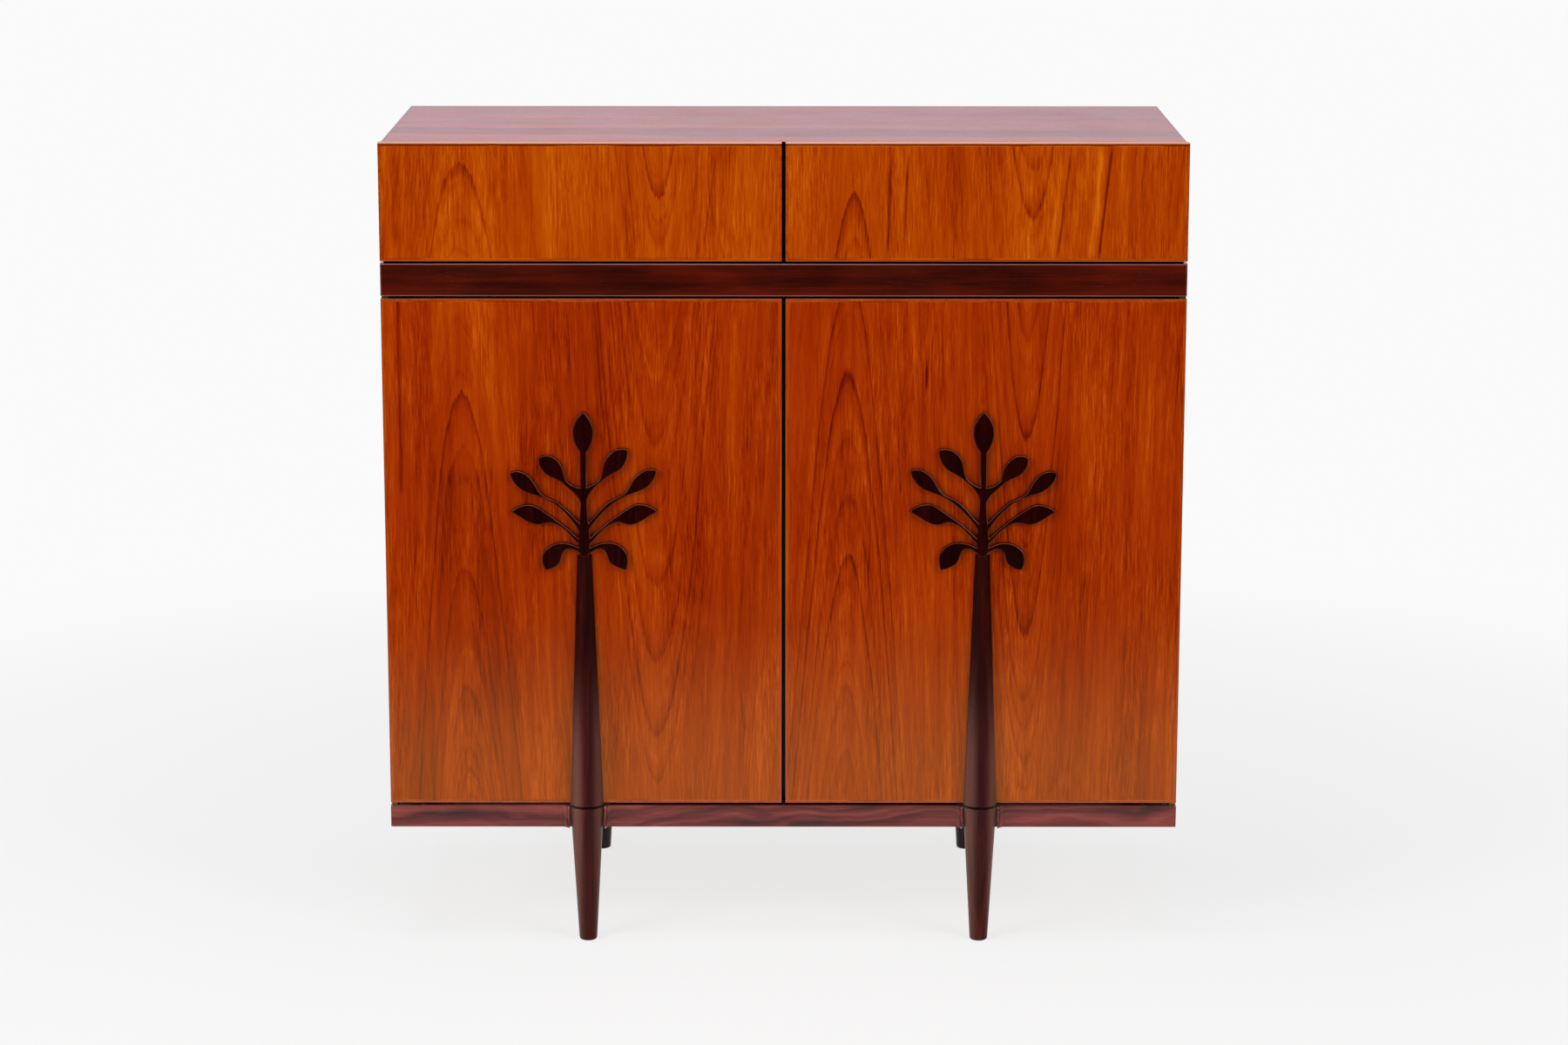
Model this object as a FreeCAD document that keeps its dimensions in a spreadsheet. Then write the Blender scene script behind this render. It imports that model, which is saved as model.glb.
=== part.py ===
import FreeCAD, Part
import os
import Sketcher

# Storage cabinet: two drawers over two cupboard doors, on a low base with four turned legs.
# Millimetres, +Z up, front towards -Y, +X to the right when facing the front.
# The origin is on the floor, under the middle of the whole object.

# Driving sizes, kept on the sheet
SIZES = {
    # Case
    "case_width": 1050,
    "case_depth": 450,
    "board": 19,
    "front_overhang": 3,
    "front_gap": 2,
    "drawer_front_gap": 0.5,
    "back_thickness": 6,
    "back_rebate": 10,
    "housing": 6,
    "partition_housing": 5,
    "top_tongue": 8,
    # Fronts, from the floor up
    "floor_clearance": 156.5,
    "rail_height": 29.5,
    "door_rail_gap": 3.6,
    "door_height": 681,
    "band_door_gap": 3.2,
    "band_height": 43,
    "drawer_band_gap": 3,
    "drawer_front_height": 154,
    "front_thickness": 19,
    "centre_gap": 5,
    "lipping": 3,
    "lipping_round": 1.2,
    "band_round": 2,
    # Base frame and legs
    "rail_thickness": 32,
    "end_rail_inset": 42,
    "end_rail_thickness": 24,
    "tenon_length": 10,
    "tenon_shoulder": 6,
    "leg_top_radius": 22.25,
    "foot_radius": 11.75,
    "foot_round": 3.5,
    "leg_fit": 0.1,
    "lip_height": 8,
    "lip_width": 1.9,
    "lip_clearance": 1.2,
    "cove_radius": 8.4,
    "spacer_width": 14,
    "spacer_recess": 12,
    # Carved tree on each door
    "trunk_top_radius": 9.75,
    "trunk_round": 1,
    "spray_thickness": 8,
    "spray_height": 192.5,
    "spray_reach": 97,
    "spray_drop": 148,
    # Knife hinges
    "pin_inset": 6,
    "pin_setback": 6.5,
    "pin_radius": 2,
    "pin_fit": 0.05,
    "plate_thickness": 2,
    "plate_radius": 5,
    "plate_length": 40,
    "hinge_play": 0.1,
    # Magnetic catches
    "catch_width": 12,
    "catch_depth": 14,
    "catch_height": 40,
    "catch_drop": 60,
    "catch_proud": 0.5,
    "strike_thickness": 1.2,
    # Shelves
    "shelf_thickness": 16,
    "shelf_play": 1,
    "shelf_setback": 15,
    "shelf_pin_radius": 2.5,
    "shelf_pin_length": 20,
    "shelf_pin_inset": 50,
    "shelf_hole_step": 64,
    # Drawers and their runners
    "drawer_play": 1,
    "drawer_side": 14,
    "drawer_back_thickness": 12,
    "drawer_headroom": 11,
    "drawer_box_lift": 6,
    "drawer_rear_gap": 12,
    "drawer_bottom_thickness": 5,
    "drawer_bottom_lift": 8,
    "drawer_groove": 5,
    "slip_depth": 7,
    "slip_neck": 8,
    "slip_flare": 1.5,
    "runner_thickness": 7,
    "runner_height": 12,
    "runner_play": 0.3,
    "runner_setback": 35,
    # Screws
    "screw_radius": 2,
    "screw_head_radius": 4,
    "screw_head_height": 2.5,
    "screw_fit": 0.05,
    "runner_screw_length": 14,
    "back_screw_length": 22,
    "back_screw_inset": 40,
    "base_screw_length": 43,
    "leg_screw_length": 24,
    # One overrun for every cut that leaves the wood
    "overrun": 2,
}

# Sprigs of the leaf spray, one dictionary entry for each, outer side first.
# Each has an upper and a lower edge, from the stem to the tip of its leaf, as
# shares of the spray's reach from the stem and of its height above the trunk.
OUTER_SPRIG_SHARES = (
    (
        ((0.03, 0.473), (0.12, 0.482), (0.23, 0.522), (0.27, 0.577), (0.32, 0.644), (0.43, 0.689)),
        (0.60, 0.682),
        ((0.04, 0.355), (0.09, 0.410), (0.21, 0.470), (0.35, 0.527), (0.49, 0.561), (0.58, 0.613)),
    ),
    (
        (
            ((0.04, 0.213), (0.21, 0.304), (0.39, 0.379), (0.58, 0.431))
            + ((0.64, 0.478), (0.75, 0.556), (0.88, 0.586))
        ),
        (0.99, 0.577),
        (
            ((0.05, 0.145), (0.14, 0.226), (0.31, 0.325), (0.49, 0.390))
            + ((0.66, 0.422), (0.82, 0.452), (0.94, 0.506))
        ),
    ),
    (
        ((0.04, 0.094), (0.21, 0.179), (0.39, 0.252), (0.57, 0.317), (0.70, 0.350), (0.85, 0.345)),
        (0.99, 0.304),
        (
            ((0.05, 0.068), (0.19, 0.143), (0.33, 0.205), (0.47, 0.230))
            + ((0.62, 0.217), (0.74, 0.231), (0.87, 0.270))
        ),
    ),
    (
        ((0.03, 0.042), (0.14, 0.069), (0.29, 0.088), (0.43, 0.073), (0.54, 0.029), (0.57, -0.036)),
        (0.53, -0.101),
        ((0.03, 0.001), (0.12, 0.034), (0.24, 0.043), (0.30, 0.005), (0.33, -0.047), (0.41, -0.083)),
    ),
)
INNER_SPRIG_SHARES = (
    (
        ((0.03, 0.473), (0.13, 0.496), (0.24, 0.551), (0.27, 0.618), (0.34, 0.699), (0.46, 0.737)),
        (0.60, 0.738),
        ((0.04, 0.369), (0.11, 0.452), (0.25, 0.522), (0.37, 0.564), (0.51, 0.608), (0.58, 0.665)),
    ),
    (
        (
            ((0.04, 0.213), (0.19, 0.299), (0.36, 0.380), (0.57, 0.442))
            + ((0.63, 0.488), (0.73, 0.561), (0.87, 0.598))
        ),
        (0.99, 0.594),
        (
            ((0.05, 0.156), (0.15, 0.239), (0.32, 0.330), (0.49, 0.395))
            + ((0.68, 0.438), (0.85, 0.475), (0.95, 0.535))
        ),
    ),
    (
        ((0.04, 0.099), (0.21, 0.182), (0.39, 0.255), (0.56, 0.314), (0.69, 0.353), (0.85, 0.350)),
        (1.00, 0.305),
        (
            ((0.05, 0.068), (0.19, 0.145), (0.33, 0.209), (0.47, 0.233))
            + ((0.61, 0.215), (0.74, 0.230), (0.87, 0.270))
        ),
    ),
    (
        ((0.03, 0.042), (0.14, 0.068), (0.30, 0.090), (0.44, 0.079), (0.55, 0.036), (0.59, -0.031)),
        (0.57, -0.101),
        ((0.03, 0.001), (0.12, 0.029), (0.25, 0.045), (0.30, 0.008), (0.34, -0.044), (0.44, -0.081)),
    ),
)
# One side of the stem, and of the leaf that ends it
STEM_SHARES = ((0.057, 0.0), (0.082, 0.062), (0.075, 0.166), (0.047, 0.322), (0.041, 0.494), (0.043, 0.717))
TOP_LEAF_SHARES = ((0.043, 0.717), (0.108, 0.777), (0.138, 0.847), (0.098, 0.935), (0.0, 1.0))

# How closely arcs follow a leaf's edge, as a share of the spray's reach
ARC_FIT_SHARE = 0.001

# Places along a piece, as shares of its length
RUNNER_SCREW_SHARES = (0.1, 0.5, 0.9)
BASE_SCREW_SHARES = (0.15, 0.5, 0.85)
LEG_SCREW_SHARES = (0.28, 0.72)
BACK_SCREW_SHARES = (-1, -0.33, 0.33, 1)
SHELF_SHARE = 0.5
RUNNER_SHARE = 0.5
# Pins of the drawers' rear corners: places and width as shares of the wood between two
# grooves, and what they narrow by on each side as a share of their width
PIN_SHARES = (0.27, 0.73)
PIN_WIDTH_SHARE = 0.26
PIN_FLARE_SHARE = 0.15
SHELF_HOLE_STEPS = (-1, 0, 1)

LEFT = -1
RIGHT = 1
SIDES = {"left": LEFT, "right": RIGHT}
WHOLE_TURN = 360
HALF_TURN = 180
EVEN = 1e-6


# A size keeps its formula on the sheet beside its present value
class Size:
    def __init__(self, formula, value):
        self.formula = formula
        self.value = value

    def __add__(self, other):
        return worked_out(self, "+", other)

    def __radd__(self, other):
        return worked_out(other, "+", self)

    def __sub__(self, other):
        return worked_out(self, "-", other)

    def __rsub__(self, other):
        return worked_out(other, "-", self)

    def __mul__(self, other):
        return worked_out(self, "*", other)

    def __rmul__(self, other):
        return worked_out(other, "*", self)

    def __truediv__(self, other):
        return worked_out(self, "/", other)

    def __neg__(self):
        return worked_out(0, "-", self)


def as_size(value):
    if isinstance(value, Size):
        return value
    return Size(f"({value})", float(value))


def worked_out(left, sign, right):
    left = as_size(left)
    right = as_size(right)
    results = {
        "+": lambda: left.value + right.value,
        "-": lambda: left.value - right.value,
        "*": lambda: left.value * right.value,
        "/": lambda: left.value / right.value,
    }
    return Size(f"({left.formula} {sign} {right.formula})", results[sign]())


# Reads a driving size from the sheet by its name
class Given:
    def __getattr__(self, name):
        return Size(f"Sizes.{name}", float(sheet.get(name)))


document = FreeCAD.newDocument("StorageCabinet")
sheet = document.addObject("Spreadsheet::Sheet", "Sizes")
for row, (size_name, size_value) in enumerate(SIZES.items(), start=1):
    sheet.set(f"A{row}", size_name)
    sheet.set(f"B{row}", str(size_value))
    sheet.setAlias(f"B{row}", size_name)
document.recompute()
given = Given()
pieces = []


def bind(item, prop, value):
    item.setExpression(prop, as_size(value).formula)


def seat(item, x, y, z):
    bind(item, "Placement.Base.x", x)
    bind(item, "Placement.Base.y", y)
    bind(item, "Placement.Base.z", z)


def new_body(label, x=0, y=0, z=0):
    body = document.addObject("PartDesign::Body", label)
    body.Label = label
    seat(body, x, y, z)
    pieces.append(body)
    return body


def new_feature(label, shape, x=0, y=0, z=0):
    feature = document.addObject("Part::Feature", label)
    feature.Label = label
    feature.Shape = shape
    seat(feature, x, y, z)
    pieces.append(feature)
    return feature


def new_sketch(body, name, plane, level):
    sketch = body.newObject("Sketcher::SketchObject", f"{body.Name}_{name}_sketch")
    origin_plane = next(item for item in body.Origin.OriginFeatures if item.Role == plane)
    sketch.AttachmentSupport = [(origin_plane, "")]
    sketch.MapMode = "FlatFace"
    bind(sketch, "AttachmentOffset.Base.z", level)
    return sketch


def hold(sketch, kind, element, point, value):
    index = sketch.addConstraint(Sketcher.Constraint(kind, -1, 1, element, point, as_size(value).value))
    bind(sketch, f"Constraints[{index}]", value)


# Straight-sided closed outline, every corner held from the sketch's origin
def draw_outline(sketch, corners):
    first = sketch.GeometryCount
    count = len(corners)
    points = [FreeCAD.Vector(as_size(x).value, as_size(y).value, 0) for x, y in corners]
    for index in range(count):
        sketch.addGeometry(Part.LineSegment(points[index], points[(index + 1) % count]), False)
    for index in range(count):
        following = first + (index + 1) % count
        sketch.addConstraint(Sketcher.Constraint("Coincident", first + index, 2, following, 1))
    for index, (x, y) in enumerate(corners):
        hold(sketch, "DistanceX", first + index, 1, x)
        hold(sketch, "DistanceY", first + index, 1, y)


def draw_circle(sketch, x, y, radius):
    centre = FreeCAD.Vector(as_size(x).value, as_size(y).value, 0)
    axis = FreeCAD.Vector(0, 0, 1)
    element = sketch.addGeometry(Part.Circle(centre, axis, as_size(radius).value), False)
    hold(sketch, "DistanceX", element, 3, x)
    hold(sketch, "DistanceY", element, 3, y)
    index = sketch.addConstraint(Sketcher.Constraint("Radius", element, as_size(radius).value))
    bind(sketch, f"Constraints[{index}]", radius)


def rectangle(x_range, y_range):
    return (
        (x_range[0], y_range[0]),
        (x_range[1], y_range[0]),
        (x_range[1], y_range[1]),
        (x_range[0], y_range[1]),
    )


def add_form(body, kind, name, sketch, length, toward_normal):
    form = body.newObject(f"PartDesign::{kind}", f"{body.Name}_{name}")
    form.Profile = sketch
    bind(form, "Length", length)
    form.Reversed = toward_normal == (kind == "Pocket")
    return form


def pad(body, name, outlines, level, length, plane="XY_Plane"):
    sketch = new_sketch(body, name, plane, level)
    for corners in outlines:
        draw_outline(sketch, corners)
    return add_form(body, "Pad", name, sketch, length, True)


def pocket(body, name, outlines, level, length, plane="XY_Plane"):
    sketch = new_sketch(body, name, plane, level)
    for corners in outlines:
        draw_outline(sketch, corners)
    return add_form(body, "Pocket", name, sketch, length, True)


def round_pad(body, name, circles, level, length, plane="XY_Plane"):
    sketch = new_sketch(body, name, plane, level)
    for x, y, radius in circles:
        draw_circle(sketch, x, y, radius)
    return add_form(body, "Pad", name, sketch, length, True)


def round_pocket(body, name, circles, level, length, plane="XY_Plane"):
    sketch = new_sketch(body, name, plane, level)
    for x, y, radius in circles:
        draw_circle(sketch, x, y, radius)
    return add_form(body, "Pocket", name, sketch, length, True)


# A board or strip, its corner at the body's origin
def block(body, name, x_range, y_range, z_range):
    return pad(body, name, [rectangle(x_range, y_range)], z_range[0], z_range[1] - z_range[0])


# A housing, rebate or groove with square sides
def trench(body, name, x_range, y_range, z_range):
    return pocket(body, name, [rectangle(x_range, y_range)], z_range[0], z_range[1] - z_range[0])


def turn(body, kind, name, corners, angle, toward_front=False):
    sketch = new_sketch(body, name, "XZ_Plane", 0)
    draw_outline(sketch, corners)
    form = body.newObject(f"PartDesign::{kind}", f"{body.Name}_{name}")
    form.Profile = sketch
    form.ReferenceAxis = (sketch, ["V_Axis"])
    form.Angle = angle
    form.Reversed = toward_front
    return form


def edges_where(shape, test):
    return [f"Edge{number}" for number, edge in enumerate(shape.Edges, start=1) if test(edge)]


def soften(body, name, base, radius, test):
    document.recompute()
    form = body.newObject("PartDesign::Fillet", f"{body.Name}_{name}")
    form.Base = (base, edges_where(base.Shape, test))
    bind(form, "Radius", radius)
    return form


def level_with(edge, axis, value):
    return all(abs(getattr(vertex.Point, axis) - value) < EVEN for vertex in edge.Vertexes)


# Levels, from the floor up
rail_bottom = given.floor_clearance
rail_top = rail_bottom + given.rail_height
case_bottom = rail_top + given.door_rail_gap
door_top = case_bottom + given.door_height
band_bottom = door_top + given.band_door_gap
band_top = band_bottom + given.band_height
drawer_front_bottom = band_top + given.drawer_band_gap
case_top = drawer_front_bottom + given.drawer_front_height
top_underside = case_top - given.board
waist_underside = band_top - given.board
floor_board_top = case_bottom + given.board

# Planes from front to back
front_y = (given.leg_top_radius - given.case_depth) / 2
rear_y = front_y + given.case_depth
fronts_back_y = front_y + given.front_thickness
case_front_y = fronts_back_y + given.front_gap
top_front_y = fronts_back_y + given.drawer_front_gap
back_face_y = rear_y - given.back_thickness
rear_leg_y = rear_y - given.leg_top_radius

# Planes from the middle to either side
half_width = given.case_width / 2
side_outer_x = half_width - given.front_overhang
side_inner_x = side_outer_x - given.board
partition_x = given.board / 2
front_inner_x = given.centre_gap / 2
front_width = half_width - front_inner_x
leg_x = given.case_width / 4
pin_x = half_width - given.pin_inset
pin_y = front_y + given.pin_setback

case_run = back_face_y - case_front_y
screw_hole_radius = given.screw_radius + given.screw_fit
head_hole_radius = given.screw_head_radius + given.screw_fit

# Heights of the drawer boxes, runners, shelves and base screws
drawer_box_bottom = drawer_front_bottom + given.drawer_box_lift
drawer_box_height = top_underside - given.drawer_headroom - drawer_box_bottom
drawer_back_bottom = given.drawer_bottom_lift + given.drawer_bottom_thickness
runner_rise = RUNNER_SHARE * drawer_box_height
runner_z = drawer_box_bottom + runner_rise
runner_groove_half = given.runner_height / 2 + given.runner_play
runner_groove_z = (runner_rise - runner_groove_half, runner_rise + runner_groove_half)
runner_front_y = case_front_y + given.runner_setback
runner_length = back_face_y - runner_front_y
cupboard_height = waist_underside - floor_board_top
shelf_pin_z = floor_board_top + SHELF_SHARE * cupboard_height
shelf_bottom = shelf_pin_z + given.shelf_pin_radius
pin_hole_radius = given.shelf_pin_radius + given.screw_fit
pin_hole_depth = given.shelf_pin_length / 2
shelf_pin_ys = (case_front_y + given.shelf_pin_inset, back_face_y - given.shelf_pin_inset)
end_rail_x = half_width - given.end_rail_inset
end_rail_middle_x = end_rail_x - given.end_rail_thickness / 2
end_rail_front_y = front_y + given.rail_thickness
end_rail_rear_y = rear_leg_y - given.rail_thickness
end_rail_length = end_rail_rear_y - end_rail_front_y
runner_screw_ys = [runner_front_y + share * runner_length for share in RUNNER_SCREW_SHARES]
base_screw_ys = [end_rail_front_y + share * end_rail_length for share in BASE_SCREW_SHARES]
leg_screw_zs = [rail_bottom + share * given.rail_height for share in LEG_SCREW_SHARES]
back_screw_reach = side_inner_x - given.back_screw_inset
back_screw_xs = [share * back_screw_reach for share in BACK_SCREW_SHARES]
back_screw_zs = (
    case_bottom + given.board / 2,
    waist_underside + given.board / 2,
    top_underside + given.back_rebate / 2,
)

# Pins of the drawers' rear corners stand in the wood under and over the runner's groove
pin_zones = ((drawer_back_bottom, runner_groove_z[0]), (runner_groove_z[1], drawer_box_height))
pin_heights = [low + share * (high - low) for low, high in pin_zones for share in PIN_SHARES]
pin_width = PIN_WIDTH_SHARE * (pin_zones[0][1] - pin_zones[0][0])


# Case


def runner_screw_holes(body, face_x, toward, x, y, z):
    circles = [(screw_y - y, runner_z - z, screw_hole_radius) for screw_y in runner_screw_ys]
    depth = given.runner_screw_length + given.screw_fit - given.runner_thickness
    level = face_x - x if toward > 0 else face_x - x - depth
    name = "runner_screws_right" if toward > 0 else "runner_screws_left"
    return round_pocket(body, name, circles, level, depth, "YZ_Plane")


def shelf_pin_holes(body, face_x, toward, x, y, z):
    circles = []
    for pin_y_place in shelf_pin_ys:
        for step in SHELF_HOLE_STEPS:
            height = shelf_pin_z + step * given.shelf_hole_step
            circles.append((pin_y_place - y, height - z, pin_hole_radius))
    depth = pin_hole_depth + given.screw_fit
    level = face_x - x if toward > 0 else face_x - x - depth
    return round_pocket(body, "shelf_holes", circles, level, depth, "YZ_Plane")


def make_side_panel(name, hand):
    x = hand * side_outer_x
    body = new_body(f"side_panel_{name}", x, case_front_y, case_bottom)
    inward = -hand
    depth = rear_y - case_front_y
    height = top_underside - case_bottom
    inner = inward * given.board
    housed = inward * (given.board - given.housing)
    block(body, "board", (0, inner), (0, depth), (0, height))
    tongue = (inward * (given.board - given.top_tongue) / 2, inward * (given.board + given.top_tongue) / 2)
    block(body, "tongue", tongue, (0, case_run), (height, height + given.housing))
    past = inward * (given.board + given.overrun)
    run = (-given.overrun, case_run)
    trench(body, "floor_housing", (housed, past), run, (-given.overrun, given.board))
    waist = waist_underside - case_bottom
    trench(body, "waist_housing", (housed, past), run, (waist, waist + given.board))
    rebate = (inward * (given.board - given.back_rebate), past)
    rebate_run = (case_run, depth + given.overrun)
    trench(body, "back_rebate", rebate, rebate_run, (-given.overrun, height + given.overrun))
    runner_screw_holes(body, hand * side_inner_x, hand, x, case_front_y, case_bottom)
    return shelf_pin_holes(body, hand * side_inner_x, hand, x, case_front_y, case_bottom)


def back_screw_pilots(body, z_row, y, z):
    depth = given.back_screw_length + given.screw_fit - given.back_thickness
    circles = [(x, z_row - z, screw_hole_radius) for x in back_screw_xs]
    level = y - back_face_y
    return round_pocket(body, "back_pilots", circles, level, depth, "XZ_Plane")


def make_top_panel():
    body = new_body("top_panel", 0, top_front_y, top_underside)
    depth = rear_y - top_front_y
    block(body, "board", (-side_outer_x, side_outer_x), (0, depth), (0, given.board))
    tongue_start = case_front_y - top_front_y
    for name, hand in SIDES.items():
        tongue = (
            hand * (side_outer_x - (given.board - given.top_tongue) / 2),
            hand * (side_outer_x - (given.board + given.top_tongue) / 2),
        )
        run = (tongue_start, tongue_start + case_run)
        trench(body, f"{name}_groove", tongue, run, (-given.overrun, given.housing))
    rebate_x = side_inner_x + given.back_rebate
    rebate_y = (back_face_y - top_front_y, depth + given.overrun)
    trench(body, "back_rebate", (-rebate_x, rebate_x), rebate_y, (-given.overrun, given.back_rebate))
    run = (-given.overrun, back_face_y - top_front_y)
    trench(body, "partition", (-partition_x, partition_x), run, (-given.overrun, given.partition_housing))
    back_screw_pilots(body, back_screw_zs[2], top_front_y, top_underside)


def make_floor_and_waist():
    reach = side_inner_x + given.housing
    floor = new_body("bottom_panel", 0, case_front_y, case_bottom)
    block(floor, "board", (-reach, reach), (0, case_run), (0, given.board))
    run = (-given.overrun, case_run + given.overrun)
    above = (given.board - given.partition_housing, given.board + given.overrun)
    below = (-given.overrun, given.partition_housing)
    trench(floor, "partition", (-partition_x, partition_x), run, above)
    back_screw_pilots(floor, back_screw_zs[0], case_front_y, case_bottom)
    into_floor = given.base_screw_length - given.rail_height - given.door_rail_gap + given.screw_head_height
    circles = []
    for hand in SIDES.values():
        for screw_y in base_screw_ys:
            circles.append((hand * end_rail_middle_x, screw_y - case_front_y, screw_hole_radius))
    round_pocket(floor, "base_screws", circles, 0, into_floor + given.screw_fit)

    waist = new_body("waist_board", 0, case_front_y, waist_underside)
    block(waist, "board", (-reach, reach), (0, case_run), (0, given.board))
    trench(waist, "drawer_partition", (-partition_x, partition_x), run, above)
    trench(waist, "cupboard_partition", (-partition_x, partition_x), run, below)
    back_screw_pilots(waist, back_screw_zs[1], case_front_y, waist_underside)


def make_partitions():
    bottom = band_top - given.partition_housing
    height = top_underside + given.partition_housing - bottom
    upper = new_body("drawer_partition", -partition_x, case_front_y, bottom)
    block(upper, "board", (0, given.board), (0, case_run), (0, height))
    runner_screw_holes(upper, -partition_x, RIGHT, -partition_x, case_front_y, bottom)
    runner_screw_holes(upper, partition_x, LEFT, -partition_x, case_front_y, bottom)

    bottom = floor_board_top - given.partition_housing
    height = waist_underside + given.partition_housing - bottom
    lower = new_body("cupboard_partition", -partition_x, case_front_y, bottom)
    block(lower, "board", (0, given.board), (0, case_run), (0, height))
    # The holes of the two cupboards meet, so one through hole serves both
    circles = []
    for pin_place in shelf_pin_ys:
        for step in SHELF_HOLE_STEPS:
            height = shelf_pin_z + step * given.shelf_hole_step
            circles.append((pin_place - case_front_y, height - bottom, pin_hole_radius))
    round_pocket(lower, "shelf_holes", circles, 0, given.board, "YZ_Plane")


def make_back_panel():
    reach = side_inner_x + given.back_rebate
    body = new_body("back_panel", 0, back_face_y, case_bottom)
    height = top_underside + given.back_rebate - case_bottom
    block(body, "board", (-reach, reach), (0, given.back_thickness), (0, height))
    shanks = []
    heads = []
    for screw_x in back_screw_xs:
        for screw_z in back_screw_zs:
            shanks.append((screw_x, screw_z - case_bottom, screw_hole_radius))
            heads.append((screw_x, screw_z - case_bottom, head_hole_radius))
    round_pocket(body, "screw_holes", shanks, -given.back_thickness, given.back_thickness, "XZ_Plane")
    round_pocket(body, "head_holes", heads, -given.back_thickness, given.screw_head_height, "XZ_Plane")


def hinge_recess(body, name, hand, x, y, z_range):
    start = pin_x + given.plate_radius - given.plate_length
    x_range = (hand * start - x, hand * pin_x - x)
    y_range = (pin_y - given.plate_radius - y, pin_y + given.plate_radius - y)
    trench(body, name, x_range, y_range, z_range)
    centre = (hand * pin_x - x, pin_y - y, given.plate_radius)
    return round_pocket(body, f"{name}_end", [centre], z_range[0], z_range[1] - z_range[0])


def make_waist_band():
    body = new_body("waist_band", 0, front_y, band_bottom)
    bar = block(body, "bar", (-half_width, half_width), (0, case_front_y - front_y), (0, given.band_height))
    soften(body, "arrises", bar, given.band_round, lambda edge: level_with(edge, "y", 0))
    for name, hand in SIDES.items():
        hinge_recess(body, f"{name}_hinge", hand, 0, front_y, (-given.overrun, given.plate_thickness))


# Base


def make_front_rail():
    body = new_body("base_front_rail", 0, front_y, rail_bottom)
    whole = (0, given.rail_height)
    block(body, "bar", (-half_width, half_width), (0, given.rail_thickness), whole)
    lip_inner = given.leg_top_radius + given.lip_clearance
    lip_outer = lip_inner + given.lip_width
    sweep = lip_outer + given.cove_radius
    through = (-given.overrun, given.rail_height + given.overrun)
    boss_y = (-given.lip_height, given.lip_height)
    for name, hand in SIDES.items():
        axis = hand * leg_x
        block(body, f"{name}_boss", (axis - sweep, axis + sweep), boss_y, whole)
        coves = [
            (axis - sweep, -given.cove_radius, given.cove_radius),
            (axis + sweep, -given.cove_radius, given.cove_radius),
        ]
        round_pocket(body, f"{name}_coves", coves, through[0], through[1] - through[0])
        slot = ((axis - lip_inner, axis + lip_inner), (-given.lip_height - given.overrun, 0))
        trench(body, f"{name}_slot", slot[0], slot[1], through)
        leg_housing(body, name, axis, 0)
        hinge_top = (given.rail_height - given.plate_thickness, given.rail_height + given.overrun)
        hinge_recess(body, f"{name}_hinge", hand, 0, front_y, hinge_top)
        socket = (given.rail_thickness - given.tenon_length, given.rail_thickness + given.overrun)
        mortise(body, name, hand, socket)
        leg_screw_holes(body, name, axis, from_behind=True)


def make_rear_rail():
    body = new_body("base_rear_rail", 0, rear_leg_y - given.rail_thickness, rail_bottom)
    block(body, "bar", (-end_rail_x, end_rail_x), (0, given.rail_thickness), (0, given.rail_height))
    for name, hand in SIDES.items():
        axis = hand * leg_x
        leg_housing(body, name, axis, given.rail_thickness)
        mortise(body, name, hand, (-given.overrun, given.tenon_length))
        leg_screw_holes(body, name, axis, from_behind=False)


# The leg's own taper, cut a hair wider, so that the leg seats in the rail
def leg_housing(body, name, axis, axis_y):
    sketch = new_sketch(body, f"{name}_housing", "XZ_Plane", -as_size(axis_y))
    bind(sketch, "AttachmentOffset.Base.x", axis)
    low = rail_bottom - given.overrun
    high = rail_top + given.overrun
    outline = (
        (0, low - rail_bottom),
        (leg_radius_at(low) + given.leg_fit, low - rail_bottom),
        (leg_radius_at(high) + given.leg_fit, high - rail_bottom),
        (0, high - rail_bottom),
    )
    draw_outline(sketch, outline)
    form = body.newObject("PartDesign::Groove", f"{body.Name}_{name}_housing")
    form.Profile = sketch
    form.ReferenceAxis = (sketch, ["V_Axis"])
    form.Angle = WHOLE_TURN
    return form


def leg_radius_at(z):
    taper = (given.leg_top_radius - given.foot_radius) / rail_top
    return given.foot_radius + taper * z


def mortise(body, name, hand, y_range):
    half = given.end_rail_thickness / 2 - given.tenon_shoulder
    x_range = (hand * end_rail_middle_x - half, hand * end_rail_middle_x + half)
    z_range = (given.tenon_shoulder, given.rail_height - given.tenon_shoulder)
    return trench(body, f"{name}_mortise", x_range, y_range, z_range)


# Holes for the two screws that draw a leg into its rail, their heads in the rail's inner face
def leg_screw_holes(body, name, axis, from_behind):
    shanks = [(axis, z - rail_bottom, screw_hole_radius) for z in leg_screw_zs]
    heads = [(axis, z - rail_bottom, head_hole_radius) for z in leg_screw_zs]
    back = -given.rail_thickness
    depth = given.screw_head_height + given.screw_fit
    round_pocket(body, f"{name}_screw_holes", shanks, back, given.rail_thickness, "XZ_Plane")
    return round_pocket(body, f"{name}_head_holes", heads, back if from_behind else -depth, depth, "XZ_Plane")


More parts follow.
